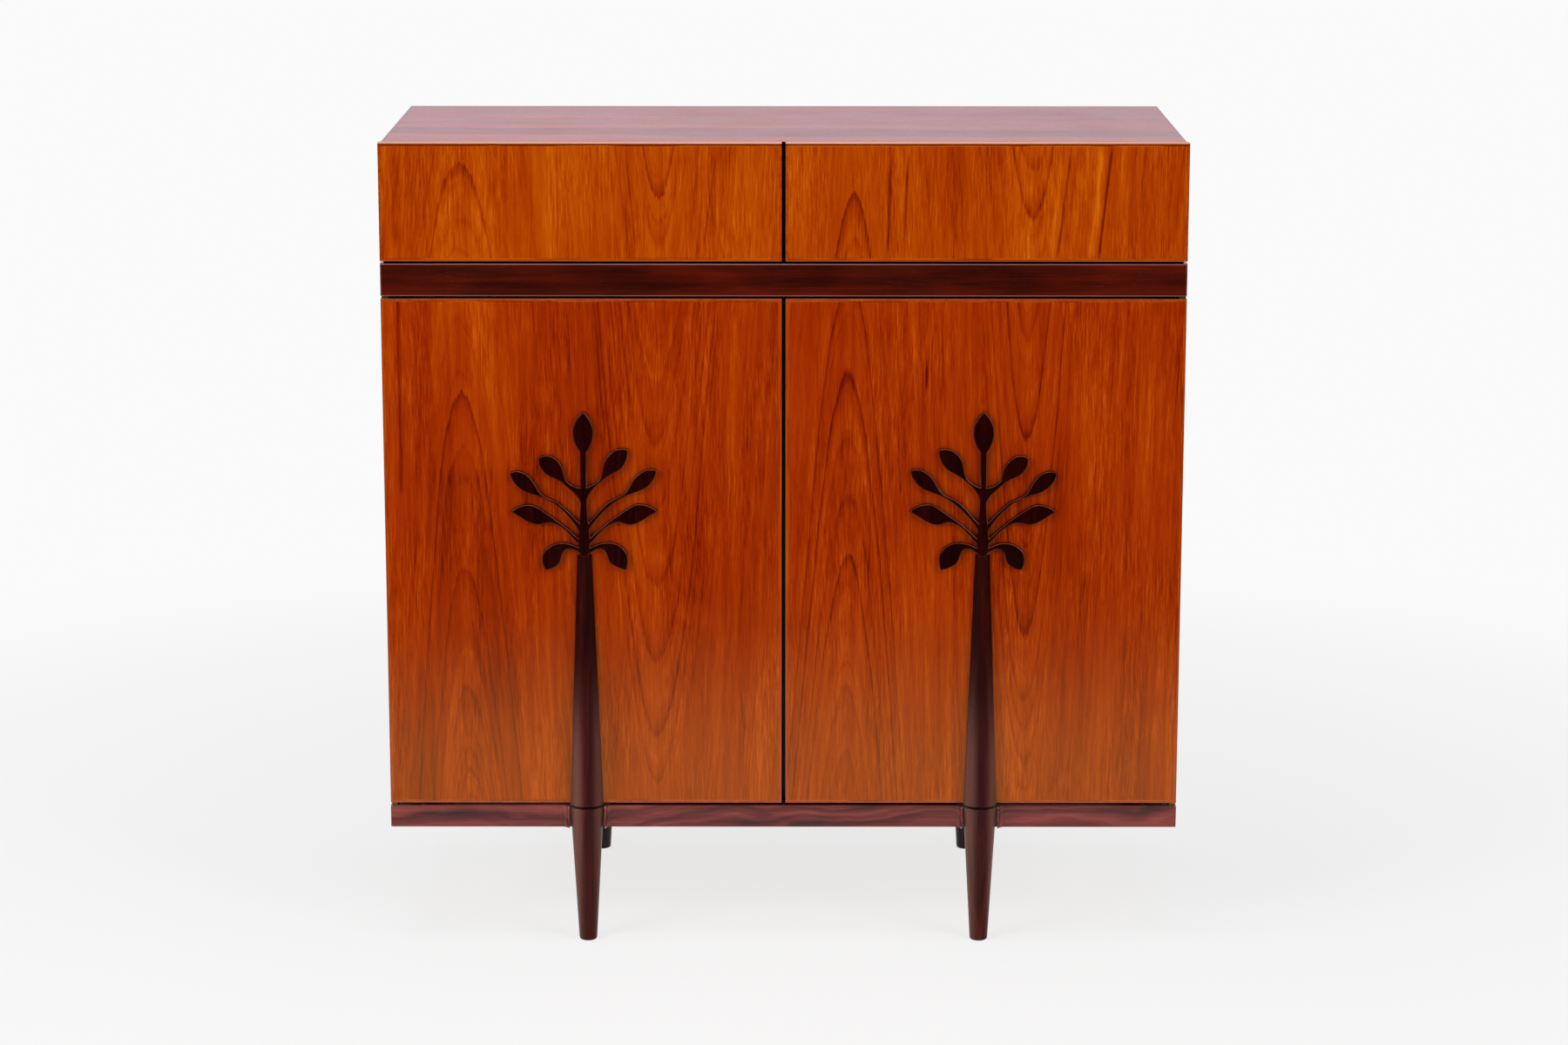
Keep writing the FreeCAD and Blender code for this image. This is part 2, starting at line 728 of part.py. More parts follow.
def make_end_rail(name, hand):
    body = new_body(f"base_end_rail_{name}", hand * end_rail_middle_x, end_rail_front_y, rail_bottom)
    half = given.end_rail_thickness / 2
    block(body, "bar", (-half, half), (0, end_rail_length), (0, given.rail_height))
    narrow = half - given.tenon_shoulder
    tall = (given.tenon_shoulder, given.rail_height - given.tenon_shoulder)
    tenon_run = (-given.tenon_length, end_rail_length + given.tenon_length)
    block(body, "tenons", (-narrow, narrow), tenon_run, tall)
    shanks = [(0, y - end_rail_front_y, screw_hole_radius) for y in base_screw_ys]
    heads = [(0, y - end_rail_front_y, head_hole_radius) for y in base_screw_ys]
    round_pocket(body, "screw_holes", shanks, 0, given.rail_height)
    round_pocket(body, "head_holes", heads, 0, 2 * given.screw_head_height)


def make_leg(label, x, y, screw_toward):
    body = new_body(label, x, y, 0)
    profile = ((0, 0), (given.foot_radius, 0), (given.leg_top_radius, rail_top), (0, rail_top))
    turned = turn(body, "Revolution", "turning", profile, WHOLE_TURN)
    soften(body, "foot", turned, given.foot_round, lambda edge: round_at(edge, 0))
    # Pilot holes from the back of the rail, on the side that the rail houses
    depth = given.leg_screw_length - given.screw_head_height + given.screw_fit
    reach = given.rail_thickness - given.screw_head_height
    level = -reach if screw_toward > 0 else reach - depth
    shanks = [(0, z, screw_hole_radius) for z in leg_screw_zs]
    round_pocket(body, "pilots", shanks, level, depth, "XZ_Plane")


def make_spacers():
    body = new_body("base_spacers", 0, 0, rail_top)
    height = given.door_rail_gap
    outlines = []
    for hand in SIDES.values():
        half = given.spacer_width / 2
        x_range = (hand * end_rail_middle_x - half, hand * end_rail_middle_x + half)
        outlines.append(rectangle(x_range, (end_rail_front_y, end_rail_rear_y)))
    cross = leg_x - given.leg_top_radius - given.lip_height
    for front in (front_y + given.spacer_recess, rear_leg_y - given.rail_thickness + given.spacer_recess / 2):
        outlines.append(rectangle((-cross, cross), (front, front + given.spacer_width)))
    pad(body, "strips", outlines, 0, height)
    circles = []
    for hand in SIDES.values():
        for y in base_screw_ys:
            circles.append((hand * end_rail_middle_x, y, screw_hole_radius))
    round_pocket(body, "screw_holes", circles, 0, height)


# Doors


# Four strips of solid wood, mitred round a board and rounded at the front arris
def mitred_lipping(width, height, thickness, strip, arris):
    strips = []
    for length, turned in ((width, False), (height, True)):
        other = height if not turned else width
        corners = (
            (0, 0),
            (length, 0),
            (length - strip, strip),
            (strip, strip),
            (0, 0),
        )
        for far in (False, True):
            points = []
            for along, across in corners:
                across = other - across if far else across
                if turned:
                    points.append(FreeCAD.Vector(across, 0, along))
                else:
                    points.append(FreeCAD.Vector(along, 0, across))
            face = Part.Face(Part.makePolygon(points))
            solid = face.extrude(FreeCAD.Vector(0, thickness, 0))
            outer = other if far else 0
            axis = "x" if turned else "z"
            front_edges = [
                edge for edge in solid.Edges
                if level_with(edge, "y", 0) and level_with(edge, axis, outer)
            ]
            strips.append(solid.makeFillet(arris, front_edges))
    return strips


def hinge_cut(hand, x, y, z_range):
    start = (pin_x + given.plate_radius - given.plate_length).value
    low, high = sorted((hand * start - x, hand * pin_x.value - x))
    radius = given.plate_radius.value
    bar = Part.makeBox(high - low, 2 * radius, z_range[1] - z_range[0])
    bar.translate(FreeCAD.Vector(low, pin_y.value - radius - y, z_range[0]))
    centre = FreeCAD.Vector(hand * pin_x.value - x, pin_y.value - y, z_range[0])
    return bar.fuse(Part.makeCylinder(radius, z_range[1] - z_range[0], centre))


def make_front_lipping(label, left_x, bottom, height, hinges=None):
    strips = mitred_lipping(
        front_width.value,
        height.value,
        given.front_thickness.value,
        given.lipping.value,
        given.lipping_round.value,
    )
    if hinges is not None:
        plate = given.plate_thickness.value
        past = given.overrun.value
        low = hinge_cut(hinges, left_x.value, front_y.value, (-past, plate))
        high = hinge_cut(hinges, left_x.value, front_y.value, (height.value - plate, height.value + past))
        strips = [strip.cut([low, high]) for strip in strips]
    solids = [solid for strip in strips for solid in strip.Solids]
    return new_feature(label, Part.makeCompound(solids), left_x, front_y, bottom)


def make_core(label, left_x, bottom, height):
    body = new_body(label, left_x + given.lipping, front_y, bottom + given.lipping)
    width = front_width - 2 * given.lipping
    block(body, "core", (0, width), (0, given.front_thickness), (0, height - 2 * given.lipping))
    return body


def make_trunk(label, hand):
    body = new_body(label, hand * leg_x, front_y, case_bottom)
    height = door_top - given.spray_drop - given.spray_height - case_bottom
    profile = ((0, 0), (given.leg_top_radius, 0), (given.trunk_top_radius, height), (0, height))
    turned = turn(body, "Revolution", "turning", profile, HALF_TURN, toward_front=True)
    top = height.value
    soften(body, "shoulder", turned, given.trunk_round, lambda edge: round_at(edge, top))


def round_at(edge, z):
    return level_with(edge, "z", z) and isinstance(edge.Curve, Part.Circle)


# The edge of a leaf: a smooth curve through its points, in arcs that join without a corner
def edge_arcs(points):
    curve = Part.BSplineCurve()
    curve.interpolate(points)
    return [arc.toShape() for arc in curve.toBiArcs(ARC_FIT_SHARE * given.spray_reach.value)]


def sprig_face(shares, side, place):
    upper, tip, lower = shares
    upper_points = [place(side * x, z) for x, z in upper + (tip,)]
    lower_points = [place(side * x, z) for x, z in (tip,) + tuple(reversed(lower))]
    closing = Part.LineSegment(lower_points[-1], upper_points[0]).toShape()
    return Part.Face(Part.Wire(edge_arcs(upper_points) + edge_arcs(lower_points) + [closing]))


def stem_face(place):
    right_stem = [place(x, z) for x, z in STEM_SHARES]
    right_leaf = [place(x, z) for x, z in TOP_LEAF_SHARES]
    left_leaf = [place(-x, z) for x, z in reversed(TOP_LEAF_SHARES)]
    left_stem = [place(-x, z) for x, z in reversed(STEM_SHARES)]
    closing = Part.LineSegment(left_stem[-1], right_stem[0]).toShape()
    outline = (right_stem, right_leaf, left_leaf, left_stem)
    edges = [arc for points in outline for arc in edge_arcs(points)]
    return Part.Face(Part.Wire(edges + [closing]))


# Fretwork spray: a stem with four sprigs on each side, all in one thickness
def make_spray(label, hand):
    reach = given.spray_reach.value
    height = given.spray_height.value
    thickness = given.spray_thickness.value

    def place(x_share, z_share):
        return FreeCAD.Vector(x_share * reach, 0, z_share * height)

    faces = [stem_face(place)]
    faces += [sprig_face(shares, hand, place) for shares in OUTER_SPRIG_SHARES]
    faces += [sprig_face(shares, -hand, place) for shares in INNER_SPRIG_SHARES]
    forward = FreeCAD.Vector(0, -thickness, 0)
    solids = [face.extrude(forward) for face in faces]
    shape = solids[0].multiFuse(solids[1:]).removeSplitter()
    bottom = door_top - given.spray_drop - given.spray_height
    new_feature(label, Part.makeCompound(shape.Solids), hand * leg_x, front_y, bottom)


# Plates with a rounded end about the pin, one pair in each door's edges
def plate_outline(hand):
    start = pin_x + given.plate_radius - given.plate_length
    x_range = (hand * start, hand * pin_x)
    return rectangle(x_range, (pin_y - given.plate_radius, pin_y + given.plate_radius))


def make_fixed_hinges(label, hand):
    body = new_body(label)
    outline = plate_outline(hand)
    end = (hand * pin_x, pin_y, given.plate_radius)
    pin = (hand * pin_x, pin_y, given.pin_radius)
    thickness = given.plate_thickness
    lower_gap = given.door_rail_gap - given.hinge_play
    upper_gap = given.band_door_gap - given.hinge_play
    pin_length = thickness + given.hinge_play
    pad(body, "low_plate", [outline], rail_top - thickness, thickness)
    round_pad(body, "low_collar", [end], rail_top - thickness, thickness + lower_gap)
    round_pad(body, "low_pin", [pin], rail_top, lower_gap + pin_length)
    pad(body, "high_plate", [outline], band_bottom, thickness)
    round_pad(body, "high_collar", [end], band_bottom - upper_gap, upper_gap + thickness)
    round_pad(body, "high_pin", [pin], band_bottom - upper_gap - pin_length, upper_gap + pin_length)


def make_door_hinges(label, hand):
    body = new_body(label)
    outline = plate_outline(hand)
    end = (hand * pin_x, pin_y, given.plate_radius)
    hole = (hand * pin_x, pin_y, given.pin_radius + given.pin_fit)
    thickness = given.plate_thickness
    for name, level in (("low", case_bottom), ("high", door_top - thickness)):
        pad(body, f"{name}_leaf", [outline], level, thickness)
        round_pad(body, f"{name}_end", [end], level, thickness)
        round_pocket(body, f"{name}_hole", [hole], level - given.overrun, thickness + 2 * given.overrun)


def make_catch(name, hand):
    bottom = door_top - given.catch_drop - given.catch_height
    x = hand * partition_x
    across = (0, hand * given.catch_width)
    catch = new_body(f"{name}_door_catch", x, case_front_y - given.catch_proud, bottom)
    block(catch, "housing", across, (0, given.catch_depth), (0, given.catch_height))
    strike = new_body(f"{name}_door_strike", x, fronts_back_y, bottom)
    block(strike, "plate", across, (0, given.strike_thickness), (0, given.catch_height))


# Shelves and drawers


def make_shelf(name, hand):
    inner = partition_x + given.shelf_play
    outer = side_inner_x - given.shelf_play
    body = new_body(f"shelf_{name}", hand * inner, case_front_y + given.shelf_setback, shelf_bottom)
    depth = case_run - given.shelf_setback - given.shelf_play
    block(body, "board", (0, hand * (outer - inner)), (0, depth), (0, given.shelf_thickness))


def make_shelf_pins():
    body = new_body("shelf_pins", 0, 0, shelf_pin_z)
    for name, hand in SIDES.items():
        for place, level in (("outer", side_inner_x), ("inner", partition_x)):
            away = level * hand
            # In the partition, pins from both sides share a hole, so each stops short of the middle
            start = away - given.shelf_pin_length / 2
            length = given.shelf_pin_length
            if place == "inner":
                length = given.shelf_pin_length / 2 + given.board / 2 - given.screw_fit
                start = given.screw_fit if hand > 0 else -(given.screw_fit + length)
            circles = [(y, 0, given.shelf_pin_radius) for y in shelf_pin_ys]
            round_pad(body, f"{name}_{place}", circles, start, length, "YZ_Plane")


def make_runner(name, hand, place, face_x, toward):
    body = new_body(f"{name}_drawer_{place}_runner", face_x, runner_front_y, runner_z)
    half = given.runner_height / 2
    block(body, "strip", (0, toward * given.runner_thickness), (0, runner_length), (-half, half))
    shanks = [(y - runner_front_y, 0, screw_hole_radius) for y in runner_screw_ys]
    heads = [(y - runner_front_y, 0, head_hole_radius) for y in runner_screw_ys]
    start = 0 if toward > 0 else -given.runner_thickness
    round_pocket(body, "screw_holes", shanks, start, given.runner_thickness, "YZ_Plane")
    depth = given.screw_head_height
    level = given.runner_thickness - depth if toward > 0 else -given.runner_thickness
    round_pocket(body, "head_holes", heads, level, depth, "YZ_Plane")


# The box hangs on its runners; its sides are dovetailed to the back and slip into the front
def make_drawer(name, hand):
    left_x = -half_width if hand < 0 else front_inner_x
    label = f"{name}_drawer"
    inner_face = partition_x + given.drawer_play
    outer_face = side_inner_x - given.drawer_play
    box_front = fronts_back_y
    box_length = back_face_y - given.drawer_rear_gap - box_front
    height = drawer_box_height

    front = make_core(f"{label}_front", left_x, drawer_front_bottom, given.drawer_front_height)
    lift = given.drawer_box_lift - given.lipping
    for place, face, inward in (("inner", inner_face, 1), ("outer", outer_face, -1)):
        middle = hand * (face + inward * given.drawer_side / 2) - left_x - given.lipping
        slip = slip_outline(middle, given.front_thickness, -1, given.overrun)
        pocket(front, f"{place}_slip", [slip], lift, height)
    bottom_low = lift + given.drawer_bottom_lift
    bottom_z = (bottom_low, bottom_low + given.drawer_bottom_thickness)
    near = hand * (inner_face + given.drawer_side - given.drawer_groove) - left_x - given.lipping
    far = hand * (outer_face - given.drawer_side + given.drawer_groove) - left_x - given.lipping
    groove_y = (given.front_thickness - given.drawer_groove, given.front_thickness + given.overrun)
    trench(front, "bottom_groove", (near, far), groove_y, bottom_z)
    lipping_label = f"{label}_front_lipping"
    make_front_lipping(lipping_label, as_size(left_x), drawer_front_bottom, given.drawer_front_height)

    for place, face, inward in (("inner", inner_face, 1), ("outer", outer_face, -1)):
        make_drawer_side(f"{label}_{place}_side", hand * face, box_front, hand * inward, box_length)

    back_start = hand * (inner_face + given.drawer_side)
    back_end = hand * (outer_face - given.drawer_side)
    back_y = box_front + box_length - given.drawer_back_thickness
    back = new_body(f"{label}_back", back_start, back_y, drawer_box_bottom)
    width = back_end - back_start
    y_range = (0, given.drawer_back_thickness)
    block(back, "board", (0, width), y_range, (drawer_back_bottom, height))
    side = given.drawer_side
    pins = [pin_outline(z, 0) for z in pin_heights]
    start = -side if hand > 0 else 0
    pad(back, "near_pins", pins, start, side, "YZ_Plane")
    start = width if hand > 0 else width - side
    pad(back, "far_pins", pins, start, side, "YZ_Plane")

    groove = given.drawer_groove
    bottom = new_body(f"{label}_bottom", back_start - hand * groove, box_front - groove, drawer_box_bottom)
    lift = given.drawer_bottom_lift
    run = (0, box_length + groove)
    block(bottom, "panel", (0, width + 2 * hand * groove), run, (lift, lift + given.drawer_bottom_thickness))


# Tongue at the front end of a drawer side, wider at its tip
def slip_outline(middle, root_y, toward, past):
    neck = given.slip_neck / 2
    tip = neck + given.slip_flare
    tip_y = root_y + toward * given.slip_depth
    far_y = root_y - toward * past
    spread = given.slip_flare * past / given.slip_depth
    return (
        (middle - neck + spread, far_y),
        (middle + neck - spread, far_y),
        (middle + tip, tip_y),
        (middle - tip, tip_y),
    )


# Pin of the rear corner joint, drawn on the side's face: narrow at the outside end
def pin_outline(z, start_y):
    wide = pin_width / 2
    narrow = wide - PIN_FLARE_SHARE * pin_width
    depth = given.drawer_back_thickness
    return (
        (start_y, z - wide),
        (start_y + depth, z - narrow),
        (start_y + depth, z + narrow),
        (start_y, z + wide),
    )


def make_drawer_side(label, outer_x, box_front, inward, box_length):
    body = new_body(label, outer_x, box_front, drawer_box_bottom)
    side = given.drawer_side
    block(body, "board", (0, inward * side), (0, box_length), (0, drawer_box_height))
    pad(body, "slip", [slip_outline(inward * side / 2, 0, -1, 0)], 0, drawer_box_height)
    groove = (inward * (side - given.drawer_groove), inward * (side + given.overrun))
    lift = given.drawer_bottom_lift
    run = (-given.slip_depth - given.overrun, box_length + given.overrun)
    trench(body, "bottom_groove", groove, run, (lift, lift + given.drawer_bottom_thickness))
    deep = given.runner_thickness - given.drawer_play + given.runner_play
    start = runner_front_y - box_front - given.runner_play
    slot = (-inward * given.overrun, inward * deep)
    trench(body, "runner_groove", slot, (start, box_length + given.overrun), runner_groove_z)
    root = box_length - given.drawer_back_thickness
    pins = [pin_outline(z, root) for z in pin_heights]
    level = 0 if inward > 0 else -side
    pocket(body, "tails", pins, level, side, "YZ_Plane")


# Screws, grouped by what they hold


# One cheese-head screw along +Z from the underside of its head
def screw_shape(length):
    head = Part.makeCylinder(given.screw_head_radius.value, given.screw_head_height.value)
    shank = Part.makeCylinder(given.screw_radius.value, length)
    return head.fuse(shank).removeSplitter()


def make_screws(label, length, places, direction):
    screws = []
    for head_point in places:
        screw = screw_shape(length.value)
        turn_to = FreeCAD.Rotation(FreeCAD.Vector(0, 0, 1), direction(head_point))
        point = FreeCAD.Vector(*(as_size(value).value for value in head_point))
        screw.Placement = FreeCAD.Placement(point, turn_to)
        screws.append(screw)
    new_feature(label, Part.makeCompound(screws))


def make_all_screws():
    back_places = [(x, rear_y, z) for x in back_screw_xs for z in back_screw_zs]
    inwards = FreeCAD.Vector(0, -1, 0)
    make_screws("back_panel_screws", given.back_screw_length, back_places, lambda place: inwards)
    runner_places = []
    for hand in SIDES.values():
        for screw_y in runner_screw_ys:
            runner_places.append((hand * (side_inner_x - given.runner_thickness), screw_y, runner_z))
            runner_places.append((hand * (partition_x + given.runner_thickness), screw_y, runner_z))
    middle = ((side_inner_x + partition_x) / 2).value

    def away_from_drawer(place):
        x = place[0].value
        sign = 1 if x > 0 else -1
        return FreeCAD.Vector(sign if abs(x) > middle else -sign, 0, 0)

    make_screws("runner_screws", given.runner_screw_length, runner_places, away_from_drawer)
    base_places = []
    for hand in SIDES.values():
        for screw_y in base_screw_ys:
            base_places.append((hand * end_rail_middle_x, screw_y, rail_bottom + given.screw_head_height))
    upwards = FreeCAD.Vector(0, 0, 1)
    make_screws("base_screws", given.base_screw_length, base_places, lambda place: upwards)
    leg_places = []
    for hand in SIDES.values():
        for screw_z in leg_screw_zs:
            leg_places.append((hand * leg_x, front_y + given.rail_thickness, screw_z))
            leg_places.append((hand * leg_x, rear_leg_y - given.rail_thickness, screw_z))

    def into_leg(place):
        return FreeCAD.Vector(0, -1 if place[1].value < 0 else 1, 0)

    make_screws("leg_screws", given.leg_screw_length, leg_places, into_leg)


make_top_panel()
make_floor_and_waist()
make_partitions()
make_back_panel()
make_waist_band()
make_front_rail()
make_rear_rail()
make_spacers()
make_shelf_pins()
for name, hand in SIDES.items():
    make_side_panel(name, hand)
    make_end_rail(name, hand)
    make_leg(f"front_leg_{name}", hand * leg_x, front_y, 1)
    make_leg(f"rear_leg_{name}", hand * leg_x, rear_leg_y, -1)
    make_shelf(name, hand)
    make_runner(name, hand, "outer", hand * side_inner_x, -hand)
    make_runner(name, hand, "inner", hand * partition_x, hand)
    door_left_x = as_size(-half_width if hand < 0 else front_inner_x)
    make_core(f"{name}_door_panel", door_left_x, case_bottom, given.door_height)
    make_front_lipping(f"{name}_door_lipping", door_left_x, case_bottom, given.door_height, hinges=hand)
    make_trunk(f"{name}_door_trunk", hand)
    make_spray(f"{name}_door_leaf_spray", hand)
    make_fixed_hinges(f"{name}_hinge_plates", hand)
    make_door_hinges(f"{name}_door_hinge_leaves", hand)
    make_catch(name, hand)
    make_drawer(name, hand)
make_all_screws()
document.recompute()

# Nothing is written unless every feature is sound and every cut removes wood
faults = []
for item in document.Objects:
    if "Invalid" in item.State or "Error" in item.State:
        faults.append(f"{item.Label}: {item.State}")
    if item.TypeId in ("PartDesign::Pocket", "PartDesign::Groove"):
        if item.Shape.Volume >= item.BaseFeature.Shape.Volume:
            faults.append(f"{item.Label} cuts nothing")
for piece in pieces:
    if piece.Shape.isNull() or not piece.Shape.isValid():
        faults.append(f"{piece.Label} has no valid shape")
if faults:
    raise RuntimeError("; ".join(faults))

os.makedirs("parts", exist_ok=True)
for piece in pieces:
    piece.Shape.exportStep(f"parts/{piece.Label}.step")
    print(piece.Label, len(piece.Shape.Solids), round(piece.Shape.Volume))
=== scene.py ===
"""Finish, light and camera of the storage cabinet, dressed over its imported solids.

Lengths are in metres in the cabinet's own frame: X to the right, Y to the back, Z up.
"""

import logging
import math
from dataclasses import dataclass, field
from enum import Enum

import bmesh
import bpy
from mathutils import Matrix, Vector


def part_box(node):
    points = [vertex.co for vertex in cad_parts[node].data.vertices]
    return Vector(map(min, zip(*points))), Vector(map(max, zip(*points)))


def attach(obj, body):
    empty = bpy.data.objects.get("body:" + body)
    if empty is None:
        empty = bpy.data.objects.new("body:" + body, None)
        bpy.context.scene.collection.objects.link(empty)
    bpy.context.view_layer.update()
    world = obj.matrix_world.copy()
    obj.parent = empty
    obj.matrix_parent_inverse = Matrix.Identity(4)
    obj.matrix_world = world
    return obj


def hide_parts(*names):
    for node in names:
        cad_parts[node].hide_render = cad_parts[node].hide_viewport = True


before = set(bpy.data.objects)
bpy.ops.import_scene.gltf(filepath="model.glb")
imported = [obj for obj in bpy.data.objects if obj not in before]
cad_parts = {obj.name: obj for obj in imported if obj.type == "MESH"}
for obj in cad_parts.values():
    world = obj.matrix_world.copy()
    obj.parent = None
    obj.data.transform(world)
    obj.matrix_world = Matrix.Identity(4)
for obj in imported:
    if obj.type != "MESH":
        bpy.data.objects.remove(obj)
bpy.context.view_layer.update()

log = logging.getLogger("cabinet")

Colour = tuple[float, float, float, float]
Stops = list[tuple[float, Colour]]
Triple = tuple[float, float, float]
Box = tuple[Triple, Triple]
Socket = bpy.types.NodeSocket

# A screen's levels against light: the top level, the straight toe, and the bend above the toe.
FULL = 255.0
TOE = 10.0
TOE_SLOPE = 12.92
BEND_OFFSET = 0.055
BEND_POWER = 2.4

# The middle of noise and of a wood's tones, and a pattern that isn't moved.
MIDDLE = 0.5
STILL: Triple = (0.0, 0.0, 0.0)

# Points within a touch are one, faces within the flat angle are one, and a face is flat to an axis where its
# normal has this share along it.
TOUCH = 1e-5
FLAT_ANGLE = math.radians(1.0)
FLAT = 0.999
QUAD = 4
# The attribute that holds the painted highlight on the eased rims of the leaves.
RIM_HIGHLIGHT = "eased"

# Where the case's front edges stand, how far painted shading fades, and how far each tree is from the
# middle.
CASE_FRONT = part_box("side_panel_left")[0][1]
PAINT_FADE = 0.001
TREE_X = (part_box("front_leg_right")[0][0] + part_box("front_leg_right")[1][0]) / 2

# How far the fibres of one half's fronts are moved up or down from the other's, in metres.
FIBRE_STEP = 0.4


def colour(red: float, green: float, blue: float) -> Colour:
    """Turns a screen colour into the linear one that shaders use.

    Args:
        red: Red, 0 to 255.
        green: Green, 0 to 255.
        blue: Blue, 0 to 255.

    Returns:
        The linear colour with an alpha of 1.
    """
    linear = [((part / FULL + BEND_OFFSET) / (1 + BEND_OFFSET)) ** BEND_POWER if part > TOE
              else part / FULL / TOE_SLOPE for part in (red, green, blue)]
    return (linear[0], linear[1], linear[2], 1.0)


def grey(level: float) -> Colour:
    """Gives a linear grey of one level."""
    return (level, level, level, 1.0)


class Along(Enum):
    """The way that the grain runs on a piece, and the turn that brings that way to Z."""

    X = (0.0, math.pi / 2, 0.0)
    Y = (math.pi / 2, 0.0, 0.0)
    Z = (0.0, 0.0, 0.0)


class Side(Enum):
    """The two halves of the cabinet, each with the sign of its X."""

    LEFT = -1
    RIGHT = 1

    @property
    def word(self) -> str:
        """The side's name as the solids spell it."""
        return self.name.lower()


@dataclass(frozen=True)
class Clouds:
    """A pattern of cloud noise, which runs from 0 to 1 about its middle of 0.5.

    Attributes:
        scale: Clouds to a metre, each way.
        detail: How many finer layers are added.
        roughness: How strong those layers are.
        reach: What the whole run of the noise counts for as a swing.
        ends: The levels of the noise where a spot starts and where it is full.
    """

    scale: Triple
    detail: float = 2.0
    roughness: float = 0.5
    reach: float = 1.0
    ends: tuple[float, float] = (0.0, 1.0)


class Signal:
    """A number that varies over a surface, with Python's operators for its sums."""

    def __init__(self, paint: "Paint", socket: Socket) -> None:
        """Wraps a socket of the paint's tree."""
        self.paint = paint
        self.socket = socket

    def _math(self, operation: str, *terms: "Signal | float") -> "Signal":
        """Adds a Math node.

        Args:
            operation: The node's operation.
            terms: Its terms in order.

        Returns:
            The node's result.
        """
        made = self.paint.node("ShaderNodeMath", {"operation": operation}, dict(enumerate(terms)))
        return Signal(self.paint, made.outputs[0])

    def __add__(self, other: "Signal | float") -> "Signal":
        """Adds."""
        return self._math("ADD", self, other)

    __radd__ = __add__

    def __sub__(self, other: "Signal | float") -> "Signal":
        """Takes away."""
        return self._math("SUBTRACT", self, other)

    def __rsub__(self, other: float) -> "Signal":
        """Takes this from a number."""
        return self._math("SUBTRACT", other, self)

    def __mul__(self, other: "Signal | float") -> "Signal":
        """Multiplies."""
        return self._math("MULTIPLY", self, other)

    __rmul__ = __mul__

    def __truediv__(self, other: "Signal | float") -> "Signal":
        """Divides."""
        return self._math("DIVIDE", self, other)

    def __gt__(self, other: "Signal | float") -> "Signal":
        """Gives 1 where this is the greater."""
        return self._math("GREATER_THAN", self, other)

    def root(self) -> "Signal":
        """Gives the square root."""
        return self._math("SQRT", self)

    def over(self, floor: float) -> "Signal":
        """Keeps the number from falling under a floor."""
        return self._math("MAXIMUM", self, floor)

    def size(self) -> "Signal":
        """Gives the number without its sign."""
        return self._math("ABSOLUTE", self)

    def step(self, low: float, high: float) -> "Signal":
        """Rises smoothly from 0 to 1.

        Args:
            low: Where the rise starts.
            high: Where it ends, which may be under low for a fall.

        Returns:
            The share of the rise.
        """
        low_end, high_end = min(low, high), max(low, high)
        ends = (0.0, 1.0) if high > low else (1.0, 0.0)
        made = self.paint.node(
            "ShaderNodeMapRange",
            {"interpolation_type": "SMOOTHSTEP"},
            {"Value": self, "From Min": low_end, "From Max": high_end, "To Min": ends[0], "To Max": ends[1]},
        )
        return Signal(self.paint, made.outputs["Result"])

    def lifted(self, least: float) -> "Signal":
        """Squeezes a run from 0 to 1 into one from a least value to 1."""
        return self * (1 - least) + least


